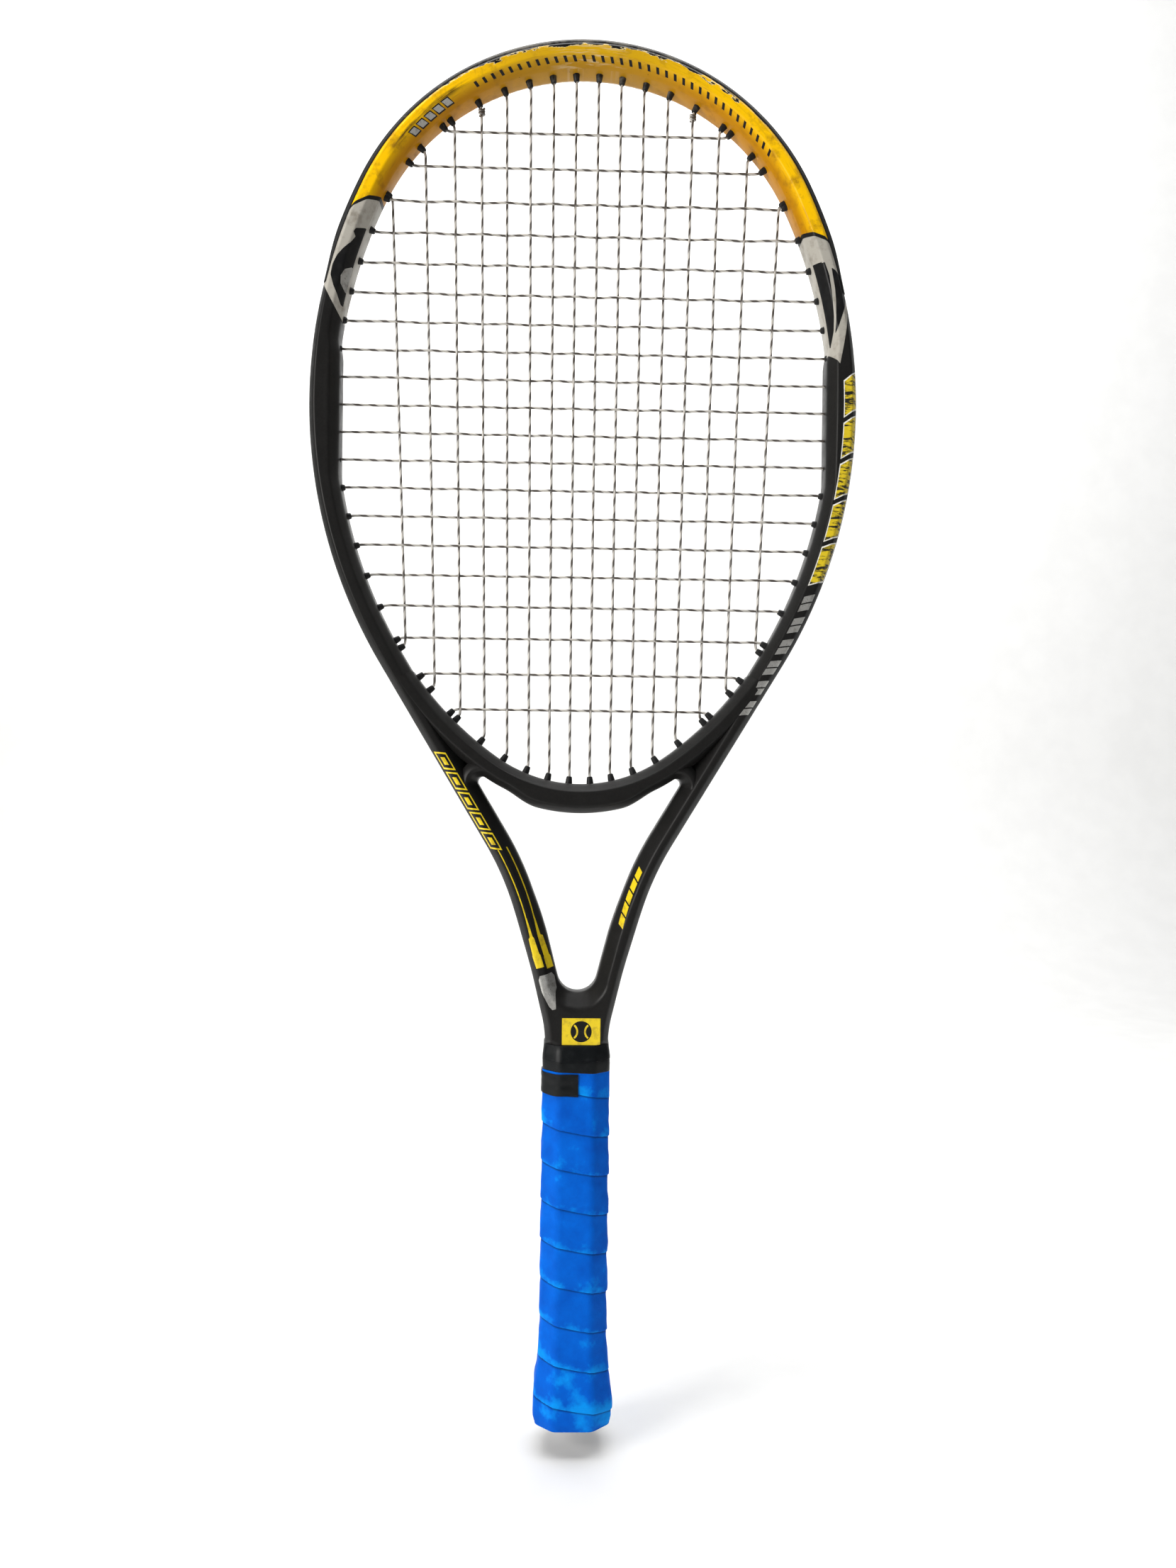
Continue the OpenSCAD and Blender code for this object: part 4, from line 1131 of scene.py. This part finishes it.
class OvergripBuilder(bpy.types.Operator):
    """Winds the blue overgrip up the handle, each lap crossing the one below"""

    bl_idname = "racket.build_overgrip"
    bl_label = "Overgrip"

    def execute(self, context):
        sizes = context.scene.racket_sizes
        width, depth = sizes.grip_width / MM, sizes.grip_depth / MM
        pitch, step = sizes.wrap_pitch / MM, sizes.lap_step / MM
        z = np.concatenate([[0.0, 0.3, 0.8, 1.6], np.linspace(2.4, WRAP_TOP, 340)])
        share = ring_share()[None]
        grow = np.interp(z, FLARE_Z, FLARE_MM)
        phase = z[:, None] / pitch + share
        lap = phase % 1.0
        # Each lap steps up within 4% of the pitch, sinks slowly, and puffs a little along its middle
        edge_up = smooth(lap, 0.0, 0.035) * (1 - smooth(lap, 0.05, 0.9))
        bulge = 0.18 * np.sin(np.pi * lap) ** 0.8
        # Slow waves of (height in mm, number round the grip, length along it in mm)
        rng = np.random.default_rng(7)
        waves = sum(a * np.sin(2 * np.pi * (k * share + z[:, None] / l) + rng.uniform(0, 6.28))
                    for a, k, l in ((0.1, 2, 31.0), (0.08, 3, 17.0), (0.06, 5, 11.0), (0.05, 1, 7.3)))
        # The foot is flat on the cap, and the top lap lies flat under the tape
        flat = smooth(z, 0.0, 8.0) * (1 - 0.8 * smooth(z, 157.0, 166.0))
        relief = (step * edge_up + bulge + waves - 0.4) * flat[:, None]
        grid = sleeve_points(z, width + grow, depth + grow, relief[:, :-1])
        inner_z, inner_grow = z[::-40], grow[::-40] - 2.0
        inner = sleeve_points(inner_z, width + inner_grow, depth + inner_grow)
        inner[-1, :, 2] = 0.25
        uv = np.stack([np.broadcast_to(share, phase.shape), phase], -1)
        uv = np.concatenate([uv, np.broadcast_to(uv[-1:], (len(inner), *uv.shape[1:])), uv[:1]], 0)
        felt = shared_material("felted polyurethane overgrip", overgrip_material,
                               context.scene.racket_colours)
        make_piece("overgrip_wrapped", [shell(np.concatenate([grid, inner]), (True, True), uv)], [felt],
                   ["overgrip"], 50)
        return {"FINISHED"}


class TapeBuilder(bpy.types.Operator):
    """Builds the black finishing tape at the handle's top and the tape patch stuck below it"""

    bl_idname = "racket.build_tapes"
    bl_label = "Finishing tape and patch"

    def execute(self, context):
        sizes = context.scene.racket_sizes
        vinyl = shared_material("black vinyl tape", film_material, "#0B0E10", "#15181A", 0.38, 0.0, 0.18)
        share = ring_share()[None, :-1]
        shells = []
        # Two turns: the lower one reaches down on the right, and the upper one overlaps it
        for low, high, extra, tilt in ((BAND_LOW, 187.6, 0.0, 0.7), (183.4, BAND_TOP, 0.35, -0.5)):
            t = np.array([0.0, 0.02, 0.06, 0.2, 0.4, 0.6, 0.8, 0.94, 0.98, 1.0])
            z = low + (high - low) * t
            wide, deep = band_size(z)
            # Both edges are turned in, and the band waves a little three times round
            ease = -0.22 * (np.abs(t - 0.5) > 0.49)
            relief = ease[:, None] + extra * 0.5 + 0.05 * np.sin(2 * np.pi * (3 * share + t[:, None]))
            outer = sleeve_points(z, wide, deep, relief)
            inside = sleeve_points(z[::-3], wide[::-3] - 1.0, deep[::-3] - 1.0)
            grid = np.concatenate([outer, inside], 0)
            grid[..., 2] += tilt * np.sin(2 * np.pi * (share + 0.1)) * smooth(
                grid[..., 2], high + 1, low - 1 if extra == 0 else low)
            shells.append(shell(grid, (True, True)))
        make_piece("finishing_tape_wrapped", shells, [vinyl], ["finishing_tape"], 50)
        patch = self.patch(sizes.grip_width / MM, sizes.grip_depth / MM)
        make_piece("tape_patch_stuck", [patch], [vinyl], ["tape_patch"], 50)
        return {"FINISHED"}

    @staticmethod
    def patch(width, depth):
        """A short piece of tape round the left front edges: a strip of the sleeve, lifted and rippled."""
        ring = octagon_ring(width, depth)
        path = np.vstack([ring, ring[:1]])
        # It runs over these shares of the way round
        c = np.linspace(0.17, 0.45, 60)
        t = np.linspace(0, 1, 60)
        across = np.linspace(0, 1, 26)[:, None]
        top = 177.5 + 0.15 * np.sin(9 * t)
        bottom = 166.6 + 1.2 * smooth(t, 0.5, 0.0) - 0.15 * np.sin(14 * t)
        z = bottom + (top - bottom) * across
        edge_line = np.stack([np.interp(c, ring_share(), path[:, k]) for k in (0, 1)], -1)
        normal = outward(edge_line, lambda line: np.gradient(line, axis=0))
        ripple = 0.6 + 0.06 * np.sin(5 * np.pi * across) * np.sin(7 * t) + 0.05 * np.sin(3 * np.pi * across)
        skin, under = (np.concatenate([edge_line + normal * lift[..., None], z[..., None]], -1)
                       for lift in (ripple, ripple - 0.9))
        return shell(np.concatenate([skin, under[::-1]], 0).transpose(1, 0, 2))


class MarkBuilder(bpy.types.Operator):
    """Lays the painted shapes on the frame: leaning blocks, stripes, a shield and a round emblem"""

    bl_idname = "racket.build_marks"
    bl_label = "Painted marks"

    def execute(self, context):
        black, yellow, white, silver = (
            shared_material(name + " ink", film_material, *details)
            for name, *details in (("black", "#121213", "#1C1C1B", 0.36, 0.0, 0.2),
                                   ("yellow", "#E8CB14", "#A88B14", 0.36),
                                   ("white", "#E9E7DF", "#9C988E", 0.38),
                                   ("silver", "#B4B3AF", "#7E7B75", 0.3, 0.6)))
        streaked = shared_material("screened yellow ink, streaked", streaked_material)
        for name, patches, inks in (("crown_shapes", self.crown_shapes(), [black, silver]),
                                    ("side_blocks", self.side_blocks(), [streaked, white, silver]),
                                    ("shaft_stripes", self.shaft_stripes(), [yellow, black, silver]),
                                    ("neck_emblem", self.emblem(), [yellow, black])):
            make_piece(name, both_faces(patches), inks)
        return {"FINISHED"}

    @staticmethod
    def crown_shapes():
        """Black sweeps over the silver ends of the crown paint, and small bars on its inner slope."""
        bands = (
            (0, 0.05, [(-149, 0.2, 0.5), (-152.5, 0.2, 3.4), (-154.5, 0.2, 3.8), (-156, 0.2, 2.5),
                       (-160, 0.2, 3.4), (-164, 0.2, 5.8), (-168, 0.2, 7.6), (-173, 0.2, 8.6),
                       (-178, 0.2, 8.2), (-183, 0.2, 5.4), (-186, 0.2, 3.2), (-190, 0.2, 1.0)]),
            (1, 0.09, [(-170, 0.2, 0.6), (-173, 0.2, 2.6), (-177, 0.2, 3.4), (-180.5, 0.2, 2.8),
                       (-183, 0.2, 0.6)]),
            (0, 0.05, [(163, 0.2, 0.5), (165, 0.2, 4.4), (172, 0.2, 4.9), (182, 0.2, 4.0),
                       (192, 0.2, 3.1), (199, 0.2, 2.2), (206, 0.2, 0.4)]),
            (0, 0.05, [(169, 6.9, 7.2), (172, 6.6, 9.8), (179, 6.1, 11.3), (185, 5.3, 11.0),
                       (190, 4.4, 8.4), (196, 3.4, 5.2), (200, 2.7, 2.9)]),
        )
        made = [painted_band(stops, (60, 30), lift, finish) for finish, lift, stops in bands]
        # A row of short dashes on the inner slope, then five silver bars to its left
        for s in np.arange(-58.0, 104.0, 4.6):
            made.append(leaning_block((s, s + 1.5), 1.6, 3.2, -1.0, (4, 6), 0.04, 0))
        for s in np.arange(-98.0, -72.0, 5.4):
            made.append(leaning_block((s, s + 4.4), 1.1, 3.8, -2.2, (6, 8), 0.04, 0))
            made.append(leaning_block((s + 0.5, s + 3.9), 1.5, 3.4, -1.9, (6, 8), 0.07, 1))
        return made

    @staticmethod
    def side_blocks():
        """Leaning outlined blocks down the right side, then a run of short silver bars in pairs."""
        made = []
        for s, end in ((222.0, 240.5), (243.0, 261.0), (263.5, 281.5), (284.0, 303.0), (305.5, 326.0)):
            made.append(leaning_block((s, end), 4.3, 11.3, -5.0, (16, 24), 0.04, 1))
            made.append(leaning_block((s + 0.75, end - 0.75), 4.75, 10.95, -4.7, (16, 24), 0.08, 0))
        for k in range(12):
            s = 332.5 + 12.0 * (k // 2) + 4.5 * (k % 2)
            made.append(leaning_block((s, s + 3.7), 4.8, 9.5, -3.4, (8, 14), 0.06, 2))
        return made

    @staticmethod
    def shaft_stripes():
        """Outlined blocks, two pinstripes that end in stepped bars, and a shield, down the left shaft."""
        made = []
        for k in range(5):
            s = -(424.0 + 11.6 * k)
            made.append(leaning_block((s, s - 10.2), 5.6, 10.6, 3.6, (10, 16), 0.05, 0))
            made.append(leaning_block((s - 1.0, s - 9.2), 6.15, 10.0, 3.0, (10, 16), 0.09, 1))
            made.append(leaning_block((s - 3.0, s - 7.4), 7.2, 8.9, 1.2, (6, 12), 0.12, 0))
        bands = (
            ((40, 5), 0, [(-480, 7.2, 7.7), (-520, 6.6, 7.2)]),
            ((40, 5), 0, [(-482, 2.9, 3.4), (-520, 2.7, 3.2)]),
            ((60, 10), 0, [(-519.5, 6.6, 7.2), (-530, 5.7, 7.1), (-530.6, 5.2, 7.9), (-539, 4.4, 7.8),
                           (-539.6, 4.0, 8.0), (-546, 3.5, 7.4)]),
            ((60, 10), 0, [(-519.5, 2.7, 3.2), (-530, 1.8, 3.2), (-530.6, 0.8, 3.2), (-541, -0.2, 2.4),
                           (-541.6, -0.6, 2.6), (-547.5, -0.9, 2.2)]),
            ((40, 16), 2, [(-550, 0.6, 6.6), (-552, -0.4, 7.6), (-558, -0.2, 7.4), (-560, 0.8, 7.0),
                           (-566, 2.0, 5.4), (-568, 2.4, 4.2)]),
        )
        made += [painted_band(stops, grid, 0.05, finish) for grid, finish, stops in bands]
        # Small leaning blocks on the right shaft's inner slope
        for k in range(5):
            s = 494.0 + 6.4 * k
            made.append(leaning_block((s, s + 5.4), 2.1, 4.5, 2.0, (7, 9), 0.05, 0))
        return made

    @staticmethod
    def emblem():
        """A yellow panel with a black border, and a ball with two curved seams."""
        mid_x, mid_z, half_w, half_h = 2.2, 198.4, 9.6, 6.7

        def panel(grow):
            x = mid_x + (half_w + grow) * np.linspace(-1, 1, 36)
            z = mid_z + (half_h + grow) * np.linspace(-1, 1, 26)
            return neck_front(*np.meshgrid(x, z))

        def ring(r0, r1, a0, a1, aside=0.0):
            """Part of a flat ring on the neck's front: radius by angle about a centre."""
            radius, angle = np.meshgrid(np.linspace(r0, r1, 6), np.radians(np.linspace(a0, a1, 30)))
            return neck_front(mid_x + aside + radius * np.cos(angle), mid_z + radius * np.sin(angle))

        seams = [ring(3.6, 4.5, middle - 52, middle + 52, aside)
                 for middle, aside in ((0, -6.0), (180, 6.0))]
        layers = ((0.05, 1, [panel(0.75)]), (0.09, 0, [panel(0.0)]),
                  (0.12, 1, [ring(0.05, 5.3, 0, 180), ring(0.05, 5.3, 180, 360)]), (0.15, 0, seams))
        return [thick_patch(front, lift, finish) for lift, finish, fronts in layers for front in fronts]


class CadFinisher(bpy.types.Operator):
    """Gives the CAD pieces that stay on show, and those inside the handle, their own materials"""

    bl_idname = "racket.finish_cad"
    bl_label = "CAD finishes"

    def execute(self, context):
        moulded, door, foam, leather, wire = (plain_material(*details, **shader) for details, shader in (
            (("moulded ABS, black", "#17181A", "#232427", 0.46, 1500.0, 0.25), {"IOR": 1.53}),
            (("moulded ABS, door", "#1F2023", "#2B2C30", 0.42, 1500.0, 0.25), {"IOR": 1.53}),
            (("polyurethane foam, moulded", "#CFC8B4", "#B7AE97", 0.85, 700.0, 0.6), {"IOR": 1.4}),
            (("base grip, split leather", "#26262A", "#34343A", 0.62, 900.0, 0.6), {"IOR": 1.48}),
            (("zinc-plated steel wire", "#B8BABE", "#8F9196", 0.32, 1200.0, 0.15), {"Metallic": 1.0})))
        finishes = {"butt_cap": moulded, "trap_door": door, "handle_pallet": foam, "bridge_core": foam,
                    "base_grip": leather, "butt_cap_staples": wire, "grip_staple": wire}
        for name, material in finishes.items():
            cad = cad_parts[name]
            for slot in cad.material_slots:
                slot.material = material
            if not cad.material_slots:
                raise RuntimeError(f"{name}: no material slot to fill")
        return {"FINISHED"}


class StageBuilder(bpy.types.Operator):
    """Sets the pale sweep behind the racket, three soft lights and the camera"""

    bl_idname = "racket.build_stage"
    bl_label = "Stage, lights and camera"

    def execute(self, context):
        scene = context.scene
        # Floor below the opened trap door, a quarter circle, and a wall: one profile carried across
        floor, back, radius = -14.0, 1500.0, 400.0
        angle = np.radians(np.linspace(0, 90, 24))
        profile = np.vstack([[-2500.0, floor], np.stack([back - radius + radius * np.sin(angle),
                                                         floor + radius - radius * np.cos(angle)], -1),
                             [back, 3600.0]])
        x = np.array([-3500.0, 3500.0])
        grid = np.stack(np.broadcast_arrays(x, profile[:, :1], profile[:, 1:]), -1)
        quads = [[2 * k, 2 * k + 1, 2 * k + 3, 2 * k + 2] for k in range(len(profile) - 1)]
        mesh = bpy.data.meshes.new("stage_sweep")
        mesh.from_pydata((grid.reshape(-1, 3) * MM).tolist(), [], quads)
        mesh.shade_smooth()
        paper = plain_material("matt studio paper", "#F4F4F3", "#F1F1F0", 0.9, 300.0, 0.02, IOR=1.4)
        mesh.materials.append(paper)
        sweep = bpy.data.objects.new("stage_sweep", mesh)
        scene.collection.objects.link(sweep)

        for name, place, target, size, power, tint in (
                ("key", (-1.25, -0.9, 0.75), (0.0, 0.0, 0.34), 0.8, 22.5, (1.0, 0.98, 0.95)),
                ("fill", (1.1, -1.3, 0.5), (0.0, 0.0, 0.35), 1.4, 1.2, (0.95, 0.97, 1.0)),
                ("backdrop", (0.0, 0.25, 1.9), (0.0, 1.5, 0.3), 1.6, 40.0, (1.0, 1.0, 1.0))):
            light = bpy.data.lights.new(name, "AREA")
            light.shape, light.size, light.energy, light.color = "SQUARE", size, power, tint
            lamp = bpy.data.objects.new(name, light)
            aim = np.array(target) - np.array(place)
            flat_len = math.hypot(aim[0], aim[1])
            lamp.location = place
            lamp.rotation_euler = (math.atan2(flat_len, -aim[2]), 0.0, math.atan2(-aim[0], aim[1]))
            scene.collection.objects.link(lamp)

        world = bpy.data.worlds.new("soft daylight")
        world.use_nodes = True
        # The surroundings light the racket dimly, and are seen as a pale grey past the edge of the floor
        sky = world.node_tree.nodes["Background"]
        sky.inputs["Color"].default_value = (0.95, 0.97, 1.0, 1.0)
        ray = add_node(world.node_tree, "LightPath", {})
        strength = add_node(world.node_tree, "MapRange", {0: ray.outputs["Is Camera Ray"], 3: 0.14, 4: 0.55})
        world.node_tree.links.new(strength.outputs[0], sky.inputs["Strength"])
        scene.world = world
        scene.view_settings.view_transform = "Standard"

        camera = bpy.data.cameras.new("camera")
        camera.sensor_width = 36.0
        camera.lens = 27.08
        camera.clip_start, camera.clip_end = 0.02, 30.0
        eye = bpy.data.objects.new("camera", camera)
        eye.rotation_mode = "XYZ"
        # Level with the lower part of the bed, turned a little to the left and rolled a little
        yaw, roll = math.radians(-1.4), math.radians(-0.7)
        eye.location = (-0.0103, -0.6028, 0.3225)
        eye.rotation_euler = (math.radians(90.0), roll, yaw)
        scene.collection.objects.link(eye)
        scene.camera = eye
        return {"FINISHED"}


BUILDERS = (FrameBuilder, BridgeBuilder, GuardBuilder, GrommetBuilder, StringBuilder, OvergripBuilder,
            TapeBuilder, MarkBuilder, CadFinisher, StageBuilder)


class RacketPanel(bpy.types.Panel):
    """Lists the builders of the racket, with its sizes and colours"""

    bl_idname = "VIEW3D_PT_racket"
    bl_label = "Racket"
    bl_space_type = "VIEW_3D"
    bl_region_type = "UI"
    bl_category = "Racket"

    def draw(self, context):
        for group in (context.scene.racket_sizes, context.scene.racket_colours):
            box = self.layout.box()
            for key in group.bl_rna.properties.keys():
                if key not in {"rna_type", "name"}:
                    box.prop(group, key)
        for builder in BUILDERS:
            self.layout.operator(builder.bl_idname)


CLASSES = (RacketSizes, RacketColours, *BUILDERS, RacketPanel)


def register():
    for cls in CLASSES:
        bpy.utils.register_class(cls)
    bpy.types.Scene.racket_sizes = bpy.props.PointerProperty(type=RacketSizes)
    bpy.types.Scene.racket_colours = bpy.props.PointerProperty(type=RacketColours)


def unregister():
    del bpy.types.Scene.racket_colours
    del bpy.types.Scene.racket_sizes
    for cls in reversed(CLASSES):
        bpy.utils.unregister_class(cls)


def main():
    """Registers the add-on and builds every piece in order."""
    register()
    for builder in BUILDERS:
        group, name = builder.bl_idname.split(".")
        getattr(getattr(bpy.ops, group), name)()


if __name__ == "__main__":
    main()
